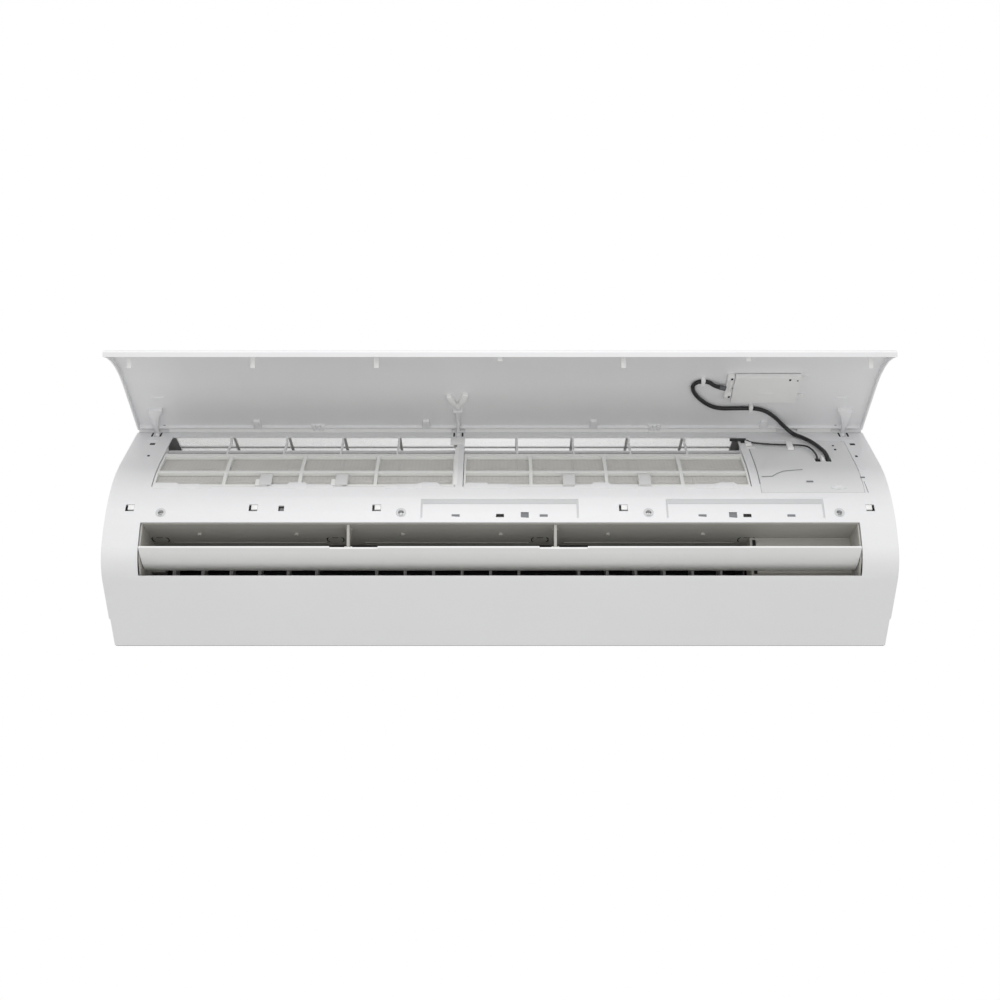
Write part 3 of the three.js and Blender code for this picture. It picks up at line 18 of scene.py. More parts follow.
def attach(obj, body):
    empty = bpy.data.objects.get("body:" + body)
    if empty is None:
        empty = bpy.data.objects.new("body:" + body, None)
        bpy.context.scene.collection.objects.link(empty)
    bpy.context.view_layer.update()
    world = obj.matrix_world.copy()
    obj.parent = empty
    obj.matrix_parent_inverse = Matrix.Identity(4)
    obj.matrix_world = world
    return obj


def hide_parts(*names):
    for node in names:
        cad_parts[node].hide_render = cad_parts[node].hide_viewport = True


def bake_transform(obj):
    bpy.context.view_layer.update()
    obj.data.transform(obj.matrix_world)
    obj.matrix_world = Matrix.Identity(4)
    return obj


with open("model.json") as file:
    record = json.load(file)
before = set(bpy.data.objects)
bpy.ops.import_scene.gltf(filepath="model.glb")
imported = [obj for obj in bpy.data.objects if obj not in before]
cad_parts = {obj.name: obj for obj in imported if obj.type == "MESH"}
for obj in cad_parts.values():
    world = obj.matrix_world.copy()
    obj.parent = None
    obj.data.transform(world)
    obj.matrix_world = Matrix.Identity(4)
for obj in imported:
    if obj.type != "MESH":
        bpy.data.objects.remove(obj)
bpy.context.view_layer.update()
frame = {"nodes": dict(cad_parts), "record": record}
NODES = frame["nodes"]
MM = 0.001

# %% [markdown]
# ## The camera
# The unit was photographed from below, as someone standing in the room sees it. A camera under
# the unit, tilted up by 21 degrees, gives the same foreshortening of the underside and of the
# raised panel.

# %% Place the camera
SENSOR_MM, LENS_MM = 36, 58.36
CAMERA_AT = (0, -2.3176, -0.793)
LEVEL_DEGREES, TILT_DEGREES = 90, 21
scene = bpy.context.scene
lens_data = bpy.data.cameras.new("view_camera")
lens_data.sensor_width = SENSOR_MM
lens_data.lens = LENS_MM
camera = bpy.data.objects.new("view_camera", lens_data)
camera.location = CAMERA_AT
camera.rotation_euler = (math.radians(LEVEL_DEGREES + TILT_DEGREES), 0, 0)
scene.collection.objects.link(camera)
scene.camera = camera
scene.view_settings.view_transform = "Standard"
print("camera at", tuple(round(v, 3) for v in camera.location))

# %% [markdown]
# ## One helper for shader nodes
# A material is a small tree of nodes. One function that adds a node, sets its options and fills
# its sockets, either with a value or with another node's output, keeps each recipe short.
# Colours are picked as sRGB hex, as on a colour card, and the shader wants them linear.

# %% Shader helpers
def linear(hex_colour):
    """An sRGB hex colour as the linear RGBA that a shader socket takes."""
    parts = [int(hex_colour[i:i + 2], 16) / 255 for i in (1, 3, 5)]
    return [p / 12.92 if p <= 0.04045 else ((p + 0.055) / 1.055) ** 2.4 for p in parts] + [1]


def add(tree, kind, sockets=None, **options):
    """Adds a shader node; a socket takes a plain value or another node's output."""
    node = tree.nodes.new(kind)
    for name, value in options.items():
        setattr(node, name, value)
    for key, value in (sockets or {}).items():
        if isinstance(value, bpy.types.NodeSocket):
            tree.links.new(value, node.inputs[key])
        else:
            node.inputs[key].default_value = value
    return node


def repeats(size_mm):
    """The scale of a pattern whose features are this many millimetres across."""
    return 1000 / size_mm


def blank(name):
    """A new material with an empty tree, its output node and its Object coordinates."""
    material = bpy.data.materials.new(name)
    material.use_nodes = True
    tree = material.node_tree
    tree.nodes.clear()
    output = add(tree, "ShaderNodeOutputMaterial")
    place = add(tree, "ShaderNodeTexCoord").outputs["Object"]
    return material, tree, output, place


print("white is", linear("#FFFFFF"))


# %% [markdown]
# ## Moulded plastic
# The casing is injection-moulded ABS. Its colour is even, but no large moulding is perfectly
# flat or perfectly uniform: the steel of the mould leaves a very fine spark-eroded grain, and
# the melt flows leave a faint drift in tone. The grain is really about 0.1 mm; it is drawn at
# 0.7 mm, or it would vanish between the pixels. ABS has an IOR of about 1.54.

# %% Moulded plastic recipe
DRIFT_MM, RUB_MM, PIT_DEPTH_MM = 180, 22, 0.3


def moulded(name, colour, shade, roughness, grain_mm=0.7, grain=0.05, ior=1.54):
    """Opaque moulded plastic: drift between two tones, uneven sheen and a spark-eroded grain."""
    material, tree, output, place = blank(name)
    drift = add(tree, "ShaderNodeTexNoise", {"Vector": place, "Scale": repeats(DRIFT_MM), "Detail": 2.0})
    tone = add(tree, "ShaderNodeMix", {"Factor": drift.outputs["Fac"], 6: linear(colour), 7: linear(shade)},
               data_type="RGBA")
    rub = add(tree, "ShaderNodeTexNoise", {"Vector": place, "Scale": repeats(RUB_MM), "Detail": 4.0})
    sheen = add(tree, "ShaderNodeMapRange", {"Value": rub.outputs["Fac"], "To Min": roughness - 0.05,
                                             "To Max": roughness + 0.06})
    pits = add(tree, "ShaderNodeTexNoise", {"Vector": place, "Scale": repeats(grain_mm), "Detail": 2.0})
    bump = add(tree, "ShaderNodeBump", {"Height": pits.outputs["Fac"], "Strength": grain,
                                        "Distance": PIT_DEPTH_MM * MM})
    surface = add(tree, "ShaderNodeBsdfPrincipled", {
        "Base Color": tone.outputs[2], "Roughness": sheen.outputs[0], "IOR": ior,
        "Normal": bump.outputs[0]})
    tree.links.new(surface.outputs[0], output.inputs[0])
    return material


print("moulded plastic drifts over", DRIFT_MM, "mm")

# %% [markdown]
# ## Moulded finishes
# One finish for each slot of the frame. The outer mouldings are gloss white ABS, the filters'
# frames are polypropylene, which is softer and a little duller, and the outlet's duct and louver
# brackets are white plastic drawn warm grey, as painted shade of the outlet's inside.

# %% Moulded finishes
FINISH = {
    # seen from outside
    "casing": moulded("white_abs_casing", "#ECECED", "#E7E7E9", 0.42),
    "panel": moulded("white_abs_panel", "#F1F1F2", "#ECECEE", 0.34),
    "cover": moulded("white_abs_cover", "#E4E4E5", "#DFDFE0", 0.46),
    "display_box": moulded("white_abs_display_box", "#F0F0EF", "#EAEAE9", 0.4),
    "filter_frame": moulded("white_polypropylene", "#EEEFEC", "#E6E7E4", 0.5, ior=1.49),
    "louver": moulded("white_abs_louver", "#EFEFEE", "#E9EAE9", 0.36),
    # in the outlet
    # duct and brackets: white plastic drawn warm grey as painted shade
    "duct": moulded("white_abs_duct_painted_shade", "#BFBDB7", "#B7B5AF", 0.5),
    "duct_bracket": moulded("white_abs_bracket_painted_shade", "#C2C0BA", "#BAB8B2", 0.48),
    "vane": moulded("mid_grey_abs_vane", "#8F908E", "#878886", 0.5),
    "vane_link": moulded("mid_grey_abs_link", "#A3A3A0", "#9B9B98", 0.5),
    "fan": moulded("charcoal_filled_abs_fan", "#34373A", "#2C2F32", 0.55),
    # inside the unit
    "fan_motor": moulded("grey_resin_motor", "#8B8E90", "#808386", 0.55, grain_mm=1.4, grain=0.12),
    "clamp": moulded("white_abs_clamp", "#DCDDDB", "#D4D5D3", 0.5),
    "chassis": moulded("charcoal_abs_chassis", "#3B3E40", "#333638", 0.55),
    "terminal": moulded("black_nylon_terminal", "#26272A", "#1F2022", 0.45),
    "bearing": moulded("black_rubber_bearing", "#1D1E1F", "#161718", 0.8, ior=1.52),
    "sensor": moulded("black_epoxy_sensor", "#1E1F21", "#17181A", 0.3, ior=1.55),
}
print("moulded finishes:", len(FINISH))

# %% [markdown]
# ## Metals
# Galvanised sheet shows spangle, the patchwork of zinc crystals a few millimetres across, which
# a Voronoi cell pattern draws well. Drawn copper tube darkens unevenly as it oxidises. The fin
# block is hundreds of thin aluminium fins on edge, 1.4 mm apart; at this distance they are
# drawn 5.6 mm apart so that the lines still show, and the gaps between the fins are painted a
# darker grey as painted shade.

# %% Metal recipes
def metal(name, colour, shade, roughness, cell_mm, cells=True):
    """Bare metal whose tone and roughness vary by crystal or by stain."""
    material, tree, output, place = blank(name)
    if cells:
        pattern = add(tree, "ShaderNodeTexVoronoi", {"Vector": place, "Scale": repeats(cell_mm)})
        value = add(tree, "ShaderNodeSeparateColor", {"Color": pattern.outputs["Color"]}).outputs[0]
    else:
        value = add(tree, "ShaderNodeTexNoise", {"Vector": place, "Scale": repeats(cell_mm),
                                                 "Detail": 4.0}).outputs["Fac"]
    tone = add(tree, "ShaderNodeMix", {"Factor": value, 6: linear(colour), 7: linear(shade)},
               data_type="RGBA")
    sheen = add(tree, "ShaderNodeMapRange", {"Value": value, "To Min": roughness - 0.06,
                                             "To Max": roughness + 0.08})
    surface = add(tree, "ShaderNodeBsdfPrincipled", {
        "Base Color": tone.outputs[2], "Metallic": 1.0, "Roughness": sheen.outputs[0]})
    tree.links.new(surface.outputs[0], output.inputs[0])
    return material


def fin_stack(name, pitch_mm):
    """Aluminium fins on edge: bright edges with gaps painted dark as shade, repeated along X. The
    wave texture has 20 / (2 pi) waves in a unit, and its scale is set to one wave for each fin."""
    material, tree, output, place = blank(name)
    wave = add(tree, "ShaderNodeTexWave", {"Vector": place, "Scale": repeats(pitch_mm) * math.pi / 10,
                                           "Distortion": 0.0}, bands_direction="X")
    edge = add(tree, "ShaderNodeMapRange", {"Value": wave.outputs["Fac"], "From Min": 0.25,
                                            "From Max": 0.75})
    stain = add(tree, "ShaderNodeTexNoise", {"Vector": place, "Scale": repeats(60), "Detail": 3.0})
    metal_tone = add(tree, "ShaderNodeMix", {"Factor": stain.outputs["Fac"], 6: linear("#E2E1DC"),
                                             7: linear("#D8D6D0")}, data_type="RGBA")
    # the gap tone #BDBBB6 is painted shade between the fins
    tone = add(tree, "ShaderNodeMix", {"Factor": edge.outputs[0], 6: linear("#BDBBB6"),
                                       7: metal_tone.outputs[2]}, data_type="RGBA")
    bump = add(tree, "ShaderNodeBump", {"Height": edge.outputs[0], "Strength": 0.5,
                                        "Distance": 0.6 * MM})
    surface = add(tree, "ShaderNodeBsdfPrincipled", {
        "Base Color": tone.outputs[2], "Metallic": 0.35, "Roughness": 0.5, "Normal": bump.outputs[0]})
    tree.links.new(surface.outputs[0], output.inputs[0])
    return material


FINISH.update({
    "fins": fin_stack("aluminium_fin_stack", 5.6),
    "end_plate": metal("galvanised_end_plate", "#C9CBCC", "#AEB1B3", 0.42, 6),
    "mounting_plate": metal("galvanised_mounting_plate", "#C6C8C9", "#A9ACAE", 0.42, 8),
    "control_box": metal("galvanised_control_box", "#C9CBCC", "#AFB2B4", 0.4, 7),
    "stepper_motor": metal("zinc_plated_can", "#CFCFCB", "#BDBDB8", 0.3, 9, cells=False),
    "screw": metal("zinc_plated_screw", "#D2D3D1", "#BEBFBC", 0.32, 2, cells=False),
    "copper": metal("drawn_copper_tube", "#C77A50", "#8E5036", 0.3, 14, cells=False),
    "nut": metal("forged_brass_nut", "#C6A85C", "#A98B45", 0.32, 6, cells=False),
})
print("metal finishes done; total", len(FINISH))

# %% [markdown]
# ## Circuit board, net and cable skin
# A circuit board is glass-fibre laminate under green solder mask, with paler tracks. The filter
# net is woven polypropylene thread, about 1.2 mm apart and half open, so what lies behind it
# shows through; it is drawn 1.6 mm apart. A guard net of finer and fewer threads lies under the
# top grille. A lead's skin is soft black PVC with a slight gloss.

# %% Board and net recipes
def circuit_board(name):
    """Green solder mask with fine tracks just under it."""
    material, tree, output, place = blank(name)
    tracks = add(tree, "ShaderNodeTexBrick", {"Vector": place, "Scale": repeats(9),
                                              "Color1": linear("#1F5A38"), "Color2": linear("#256541"),
                                              "Mortar": linear("#3A7D55"), "Mortar Size": 0.03})
    surface = add(tree, "ShaderNodeBsdfPrincipled", {
        "Base Color": tracks.outputs["Color"], "Roughness": 0.32, "IOR": 1.55})
    tree.links.new(surface.outputs[0], output.inputs[0])
    return material


def thread_mask(tree, place, axis, pitch_mm, share):
    """1 on the threads that repeat along one axis, 0 in the gaps between them."""
    part = add(tree, "ShaderNodeSeparateXYZ", {0: place}).outputs[axis]
    turns = add(tree, "ShaderNodeMath", {0: part, 1: repeats(pitch_mm)}, operation="MULTIPLY")
    phase = add(tree, "ShaderNodeMath", {0: turns.outputs[0]}, operation="FRACT")
    return add(tree, "ShaderNodeMath", {0: phase.outputs[0], 1: share}, operation="LESS_THAN").outputs[0]


def woven_net(name, pitch_mm=1.6, share=0.42):
    """Open net: two sets of threads, and nothing between them."""
    material, tree, output, place = blank(name)
    across = thread_mask(tree, place, 0, pitch_mm, share)
    along = thread_mask(tree, place, 2, pitch_mm * 0.75, share)
    threads = add(tree, "ShaderNodeMath", {0: across, 1: along}, operation="MAXIMUM")
    fibre = add(tree, "ShaderNodeTexNoise", {"Vector": place, "Scale": repeats(40), "Detail": 2.0})
    tone = add(tree, "ShaderNodeMix", {"Factor": fibre.outputs["Fac"], 6: linear("#E6E4E0"),
                                       7: linear("#DAD8D4")}, data_type="RGBA")
    bump = add(tree, "ShaderNodeBump", {"Height": threads.outputs[0], "Strength": 0.2,
                                        "Distance": 0.3 * MM})
    thread = add(tree, "ShaderNodeBsdfPrincipled", {
        "Base Color": tone.outputs[2], "Roughness": 0.6, "IOR": 1.49, "Normal": bump.outputs[0]})
    gap = add(tree, "ShaderNodeBsdfTransparent")
    mix = add(tree, "ShaderNodeMixShader", {0: threads.outputs[0], 1: gap.outputs[0], 2: thread.outputs[0]})
    tree.links.new(mix.outputs[0], output.inputs[0])
    return material


FINISH["circuit_board"] = circuit_board("green_solder_mask")
FINISH["filter_net"] = woven_net("woven_polypropylene_net")
print("board and net done")

# %% [markdown]
# ## Finishes of the small fittings
# The fittings in this lesson have no slot of their own. Gaps that no light reaches are given dark
# plastic, and slots that lie half in shade grey plastic.

# %% Cable skin and fittings
GUARD = woven_net("fine_guard_net", pitch_mm=1.1, share=0.22)
FINISH["lead"] = moulded("black_pvc_skin", "#1B1B1D", "#131314", 0.36, grain_mm=1.2, grain=0.08, ior=1.53)
SLEEVE = moulded("grey_shrink_sleeve", "#5E6164", "#55585B", 0.5)
SHADOW = moulded("unlit_recess", "#1A1B1B", "#131414", 0.9)
SHADED = moulded("half_lit_recess", "#85878A", "#7B7D80", 0.8)
SOFT_SHADE = moulded("shaded_abs_step", "#D2D3D4", "#CBCCCD", 0.5)
TAB = moulded("frosted_polypropylene_tab", "#D9DAD9", "#D2D3D2", 0.4, ior=1.49)
# white POM on the clips and straps; on the rail at the panel's root and on the hooks, a painted highlight
BRIGHT = moulded("white_pom_and_painted_highlight", "#F7F7F6", "#F1F1F0", 0.38, ior=1.48)
print("finishes:", len(FINISH))

# %% [markdown]
# ## Dressing the frame
# The record of the frame names a material slot for each node.

# %% Put every finish on its slot
slot_of = {entry["node"]: entry["material_slot"] for entry in frame["record"]["subparts"]}
for node_name, node in NODES.items():
    node.data.materials.clear()
    node.data.materials.append(FINISH[slot_of[node_name]])
print("slots dressed:", len(set(slot_of.values())))

# %% [markdown]
# ## Rounded edges
# CAD edges are perfectly sharp, and nothing moulded is: a mould's corners are eased by half a
# millimetre or so, and those small rounds are what catch the light. A copy of each visible
# moulding is merged, its flat areas are cleared of spare edges, and its corners are bevelled.
# The copy then stands for its node.

# %% Round a moulding
def finish_mesh(name, shape, material, body):
    """Turns a bmesh into a smooth-shaded piece at the origin that rides on a body."""
    mesh = bpy.data.meshes.new(name)
    shape.to_mesh(mesh)
    shape.free()
    mesh.materials.append(material)
    piece = bpy.data.objects.new(name, mesh)
    scene.collection.objects.link(piece)
    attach(piece, body)
    return piece


def shade(shape, sharp_degrees=32):
    """Smooth faces, with sharp edges where two faces meet at more than the given angle."""
    for face in shape.faces:
        face.smooth = True
    for edge in shape.edges:
        edge.smooth = len(edge.link_faces) == 2 and edge.calc_face_angle(0) < math.radians(sharp_degrees)


def body_of_node(node_name):
    groups = frame["record"]["behaviour"]["bodies"]
    return next(body for body, members in groups.items() if node_name in members)


WELD = 2e-6
FLAT_DEGREES, FOLD_DEGREES = 0.5, 150
REACH_SHARE = 2.5


def eased_copy(mesh, radius_mm, left_sharp, segments=2, least_degrees=30):
    """The mesh merged, cleared of spare edges and bevelled, apart from the corners near left_sharp."""
    shape = bmesh.new()
    shape.from_mesh(mesh)
    bmesh.ops.remove_doubles(shape, verts=shape.verts, dist=WELD)
    bmesh.ops.dissolve_limit(shape, angle_limit=math.radians(FLAT_DEGREES), verts=shape.verts,
                             edges=shape.edges)
    near = KDTree(len(left_sharp))
    for index, spot in enumerate(left_sharp):
        near.insert(spot, index)
    near.balance()
    reach = REACH_SHARE * radius_mm * MM
    kept = {v for v in shape.verts if left_sharp and near.find(v.co)[2] < reach}
    corners = [e for e in shape.edges
               if len(e.link_faces) == 2 and e.calc_face_angle(0) > math.radians(least_degrees)
               and not kept.intersection(e.verts)]
    bmesh.ops.bevel(shape, geom=corners, offset=radius_mm * MM, segments=segments, profile=0.5,
                    affect="EDGES", material=-1, clamp_overlap=False)
    bmesh.ops.triangulate(shape, faces=[f for f in shape.faces if len(f.verts) > 4],
                          ngon_method="EAR_CLIP")
    return shape


def rounded(node_name, radius_mm, tries=4):
    """A copy of a node with its corners eased, which stands for the node. Where a bevel is too
    wide for the wall it runs along, faces fold over; those corners are left sharp in the next try."""
    left_sharp = []
    for attempt in range(tries):
        shape = eased_copy(NODES[node_name].data, radius_mm, left_sharp)
        folds = [e for e in shape.edges
                 if len(e.link_faces) == 2 and e.calc_face_angle(0) > math.radians(FOLD_DEGREES)]
        if not folds or attempt == tries - 1:
            break
        left_sharp += [v.co.copy() for e in folds for v in e.verts]
        shape.free()
    shade(shape)
    slot_name = slot_of[node_name]
    piece = finish_mesh(node_name + "_rounded", shape, FINISH[slot_name], body_of_node(node_name))
    weights = piece.modifiers.new("even_normals", "WEIGHTED_NORMAL")
    weights.keep_sharp = True
    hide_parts(node_name)
    return piece


ROUNDS = {"front_casing": 0.5, "front_panel": 0.5, "control_cover": 0.35, "display_box": 0.4,
          "left_filter_frame": 0.5, "right_filter_frame": 0.5, "horizontal_louver": 0.6,
          "outlet_duct": 0.4, "louver_bracket_1": 0.4, "louver_bracket_2": 0.4,
          "rear_chassis": 0.4, "control_box": 0.3, "fan_motor": 1.0, "mounting_plate": 0.3}
for node_name, radius in ROUNDS.items():
    piece = rounded(node_name, radius)
    print("rounded", node_name, len(piece.data.polygons), "faces")

# %% [markdown]
# ## Places on the curved face
# The casing's front starts at the top corner, runs down at 45 degrees, and bends under in two
# arcs. A place on it is a distance along that section (`at`), a depth under the surface
# (`inset`) and X, all in millimetres. The panel has the same section, swung open about its pin.

# %% Face geometry
TOP_Z, NOSE_Z = 169, -61
CORNER_Y, BELLY_Y, CHIN_Y = -92.84, -40, -185
SLOPE_LENGTH, NOSE_AT = 125.27, 282.35
BELLY_RADIUS, CHIN_RADIUS = 200, 55
PANEL_STANDOFF = 8  # from the face to the panel's inner side, when shut
HINGE_AT = Vector((0, -0.093, 0.1635))
SWING = Matrix.Rotation(math.radians(-56), 4, "X")
OPEN = Matrix.Translation(HINGE_AT) @ SWING @ Matrix.Translation(-HINGE_AT)


def on_face(x, at, inset=0):
    """A frame on the casing's face: X along the unit, Y up the face, Z out of it."""
    if at <= SLOPE_LENGTH:
        lean = math.radians(45)
        y, z = CORNER_Y - at * math.sin(lean), TOP_Z - at * math.cos(lean)
    else:
        radius, middle_y = (BELLY_RADIUS, BELLY_Y) if at <= NOSE_AT else (CHIN_RADIUS, CHIN_Y)
        lean = (NOSE_AT - at) / radius
        y, z = middle_y - radius * math.cos(lean), NOSE_Z + radius * math.sin(lean)
    s, c = math.sin(lean), math.cos(lean)
    y, z = y + inset * c, z - inset * s
    return Matrix(((1, 0, 0, x * MM), (0, s, -c, y * MM), (0, c, s, z * MM), (0, 0, 0, 1)))


def on_panel(x, at, height=0):
    """A frame on the open panel's inner side: X along, Y towards the free edge, Z out of it."""
    return OPEN @ on_face(x, at, height - PANEL_STANDOFF) @ Matrix.Rotation(math.pi, 4, "X")


print("face middle", tuple(round(v, 3) for v in on_face(0, 150).translation))

# %% [markdown]
# ## Small fittings
# Blocks and flat shapes with an outline are enough for most fittings. Each call adds one closed
# body with eased edges to a bmesh, in a frame from `on_face` or `on_panel`, and a group of such
# bodies becomes one piece. Sizes are millimetres, in the order of the frame's axes.

# %% Blocks, flat shapes and pieces
EASE_SHARE = 0.4  # an edge is eased by no more than this share of the thinnest side


def block(shape, place, size, ease=0.5):
    """A box around the frame's origin with eased edges."""
    made = bmesh.ops.create_cube(shape, size=1, matrix=place @ Matrix.Diagonal((*(s * MM for s in size), 1)))
    edges = list({e for v in made["verts"] for e in v.link_edges})
    bmesh.ops.bevel(shape, geom=edges, offset=min(ease, EASE_SHARE * min(size)) * MM, segments=2,
                    profile=0.5, affect="EDGES", material=-1)


def flat(shape, place, outline, height, ease=0.5):
    """An outline in the frame's XY plane, raised along Z, with eased edges."""
    low = [shape.verts.new(place @ Vector((x * MM, y * MM, 0))) for x, y in outline]
    high = [shape.verts.new(place @ Vector((x * MM, y * MM, height * MM))) for x, y in outline]
    count = len(outline)
    faces = [shape.faces.new(low[::-1]), shape.faces.new(high)]
    faces += [shape.faces.new((low[i], low[(i + 1) % count], high[(i + 1) % count], high[i]))
              for i in range(count)]
    bmesh.ops.recalc_face_normals(shape, faces=faces)
    edges = list({e for v in low + high for e in v.link_edges})
    bmesh.ops.bevel(shape, geom=edges, offset=min(ease, EASE_SHARE * height) * MM, segments=2,
                    profile=0.5, affect="EDGES", material=-1)


def piece(name, material, body, build):
    """Runs build on an empty bmesh and makes the result one piece that rides on a body."""
    shape = bmesh.new()
    build(shape)
    shade(shape)
    made = finish_mesh(name, shape, material, body)
    print(name, len(made.data.polygons), "faces")
    return made


# %% [markdown]
# ## Hinges of the panel
# A flared web carries each outer hinge arm, and a narrow post the middle one. Over the post
# stands a forked catch in a brighter plastic. Every fitting starts 0.4 mm inside the panel, so
# that no gap shows under it.

# %% Hinge webs and forked catch
PANEL_PLASTIC = FINISH["panel"]
SUNK = -0.4
WEB_X, MIDDLE_X = 508, -62
WEB = [(515, 2), (509.5, 2), (507, 24), (503, 43), (495, 60), (500, 62), (516, 57), (515, 30)]
POST = [(-2.5, -27), (2.5, -27), (3, 20), (7, 27), (-7, 27), (-3, 20)]


def hinge_webs(shape):
    for side in (-1, 1):
        outline = [(side * (x - WEB_X), at - 30) for x, at in WEB]
        flat(shape, on_panel(side * WEB_X, 30, SUNK), outline, 7)
    flat(shape, on_panel(MIDDLE_X, 30, SUNK), POST, 6.2)


def forked_catch(shape):
    place = on_panel(MIDDLE_X, 80, SUNK)
    flat(shape, place, [(-3, -17), (3, -17), (4, -6), (-4, -6)], 6)
    flat(shape, place, [(-4, -10), (-1, -5), (-9, 15), (-16, 12), (-13, 2)], 6.6, 0.9)
    flat(shape, place, [(4, -10), (13, 2), (16, 17), (9, 19), (1, -5)], 6.6, 0.9)


piece("hinge_webs", PANEL_PLASTIC, "panel", hinge_webs)
piece("forked_catch", BRIGHT, "panel", forked_catch)

# %% [markdown]
# ## Root of the panel
# A sloping rail runs along the root and leaves the hinges and the lead free; its brighter white is a
# painted highlight where the root faces the light. Small lugs and two latch clips stand beside it.

# %% Rail, lugs and latch clips
RAIL_SPANS = [(-494, -72), (-52, 412), (444, 494)]
RAIL_SECTION = [(13.5, -0.4), (13.5, 0.5), (4.4, 5.6), (3, 5.6), (3, -0.4)]  # at, height
LUG_XS = [-361, -110, 139, 392]
LATCH_XS = [-271, 230]
QUARTER = math.radians(90)


def root_rail(shape):
    turn = Matrix.Rotation(QUARTER, 4, "Y") @ Matrix.Rotation(QUARTER, 4, "Z")
    for x0, x1 in RAIL_SPANS:
        flat(shape, on_panel(x0, 0) @ turn, RAIL_SECTION, x1 - x0, 0.4)


def root_lugs(shape):
    for x in LUG_XS:
        flat(shape, on_panel(x, 21, SUNK), [(-6.5, -10), (6.5, -10), (4.5, 9), (-4.5, 9)], 5, 0.8)
    for x in LATCH_XS:
        for offset in (-6.5, 0, 6.5):
            block(shape, on_panel(x + offset, 11, 2), (4.4, 14, 5), 0.8)
        block(shape, on_panel(x, 17, 1.2), (20, 3, 3), 0.6)


# the rail's brighter white is a painted highlight
piece("root_rail", BRIGHT, "panel", root_rail)
piece("root_lugs", PANEL_PLASTIC, "panel", root_lugs)

# %% [markdown]
# ## Display box, straps and shadow gaps
# The display box has a moulded bracket with two studs at its left end. Two straps hold its lead.
# Gaps and holes too small to see into are thin dark plates of painted shadow.

# %% Display bracket, straps and gaps
HOLES = [(413, 139, 3, 5, 7.3, 0.5), (424, 137, 2.4, 3, 7.3, 0.5),
         (330.5, 140, 3, 4, 6.6, 1), (331, 96, 3, 4, 6.6, 1)]  # x, at, width, length, height, thickness
STRAPS = [(290.5, 129.5), (367, 63)]


def stud(shape, place, radius, height, tip=None, sides=24):
    """A round post that stands on the frame's XY plane."""
    bmesh.ops.create_cone(shape, cap_ends=True, segments=sides, radius1=radius * MM,
                          radius2=(radius if tip is None else tip) * MM, depth=height * MM,
                          matrix=place @ Matrix.Translation((0, 0, height / 2 * MM)))


def panel_shadows(shape):
    for x in LATCH_XS:
        for offset in (-11, -3.2, 3.2, 11):
            block(shape, on_panel(x + offset, 10, 0.1), (2.2, 9, 0.4), 0.1)
    for side in (-1, 1):
        stud(shape, on_panel(side * 500, 13, 0), 2.6, 0.3)
    flat(shape, on_panel(MIDDLE_X, 64, 0), [(-4, -5), (4, -5), (0, 3)], 0.3, 0.1)
    for x, at, width, length, height, thickness in HOLES:
        block(shape, on_panel(x, at, height), (width, length, thickness), 0.2 if thickness < 1 else 0.3)


def display_bracket(shape):
    for at in (139, 97):
        block(shape, on_panel(329, at, 3), (10, 13, 7), 1.2)
        stud(shape, on_panel(326, at, 6), 2.6, 1.6, 2.0)
    block(shape, on_panel(331, 118, 2), (5, 40, 4.6), 0.8)
    block(shape, on_panel(382, 106, 7.2), (22, 2, 0.8), 0.3)
    block(shape, on_panel(382, 143, 7.2), (92, 3, 1.2), 0.5)
    for at in (92, 136):
        block(shape, on_panel(434, at, 1.4), (10, 8, 2.6), 0.8)


def lead_straps(shape):
    for x, at in STRAPS:
        block(shape, on_panel(x, at, 3.1), (6, 14, 7.8), 1.5)


piece("panel_shadow_gaps", SHADOW, "panel", panel_shadows)
piece("display_bracket", FINISH["display_box"], "panel", display_bracket)
piece("lead_straps", BRIGHT, "panel", lead_straps)

# %% [markdown]
# ## Hooks on the free edge
# Seven hooks stand 169.8 mm apart, drawn in a whiter plastic than the panel they are moulded on, a
# painted highlight. When the panel shuts they enter slots in the casing's strip. Two of those slots
# lie in shallow pockets, where the hooks are lower and shorter.

# %% Hooks
HOOK_PITCH = 169.8
HOOK_XS = [-509.4 + HOOK_PITCH * count for count in range(7)]
HOOK_AT, HOOK_TALL = 222, 20.6
POCKET_HOOK_AT, POCKET_HOOK_TALL = 236, 12.6
POCKETS = [(-109, 108), (229, 446)]


def in_pocket(x):
    return any(low < x < high for low, high in POCKETS)


def bright_hooks(shape):
    for x in HOOK_XS:
        at, tall = (POCKET_HOOK_AT, POCKET_HOOK_TALL) if in_pocket(x) else (HOOK_AT, HOOK_TALL)
        block(shape, on_panel(x, at, tall / 2 + SUNK), (7.0, 3.4, tall), 0.7)
        block(shape, on_panel(x, at - 0.8, tall - 1.6), (7.0, 3.8, 2.4), 0.6)


# the hooks' whiter plastic is a painted highlight
piece("bright_hooks", BRIGHT, "panel", bright_hooks)

# %% [markdown]
# ## Filter wells
# The lower rim of each filter well is wavy, so that fingers can reach the filter's tabs: each step
# of the wave is a flat shape that starts under the rim. Between the wells runs a bridge, a strip
# that follows the curve of the face.

# %% Wavy rims and bridge
CASING_PLASTIC = FINISH["casing"]
WELL_RIM_AT = 184
WELLS = {-486: 423, -52: 403}  # left edge and width of each filter well
RIM_WAVE = [(0.006, 0), (0.012, 8.5), (0.08, 8.5), (0.088, 5.5), (0.155, 5.5), (0.2, 0), (0.385, 0),
            (0.39, 4.5), (0.447, 5), (0.453, 9), (0.505, 9), (0.511, 5), (0.595, 4.5), (0.6, 0),
            (0.77, 0), (0.81, 5), (0.872, 5.5), (0.892, 9), (0.94, 9), (0.955, 3), (0.96, 0)]
BRIDGE_X = -62.5


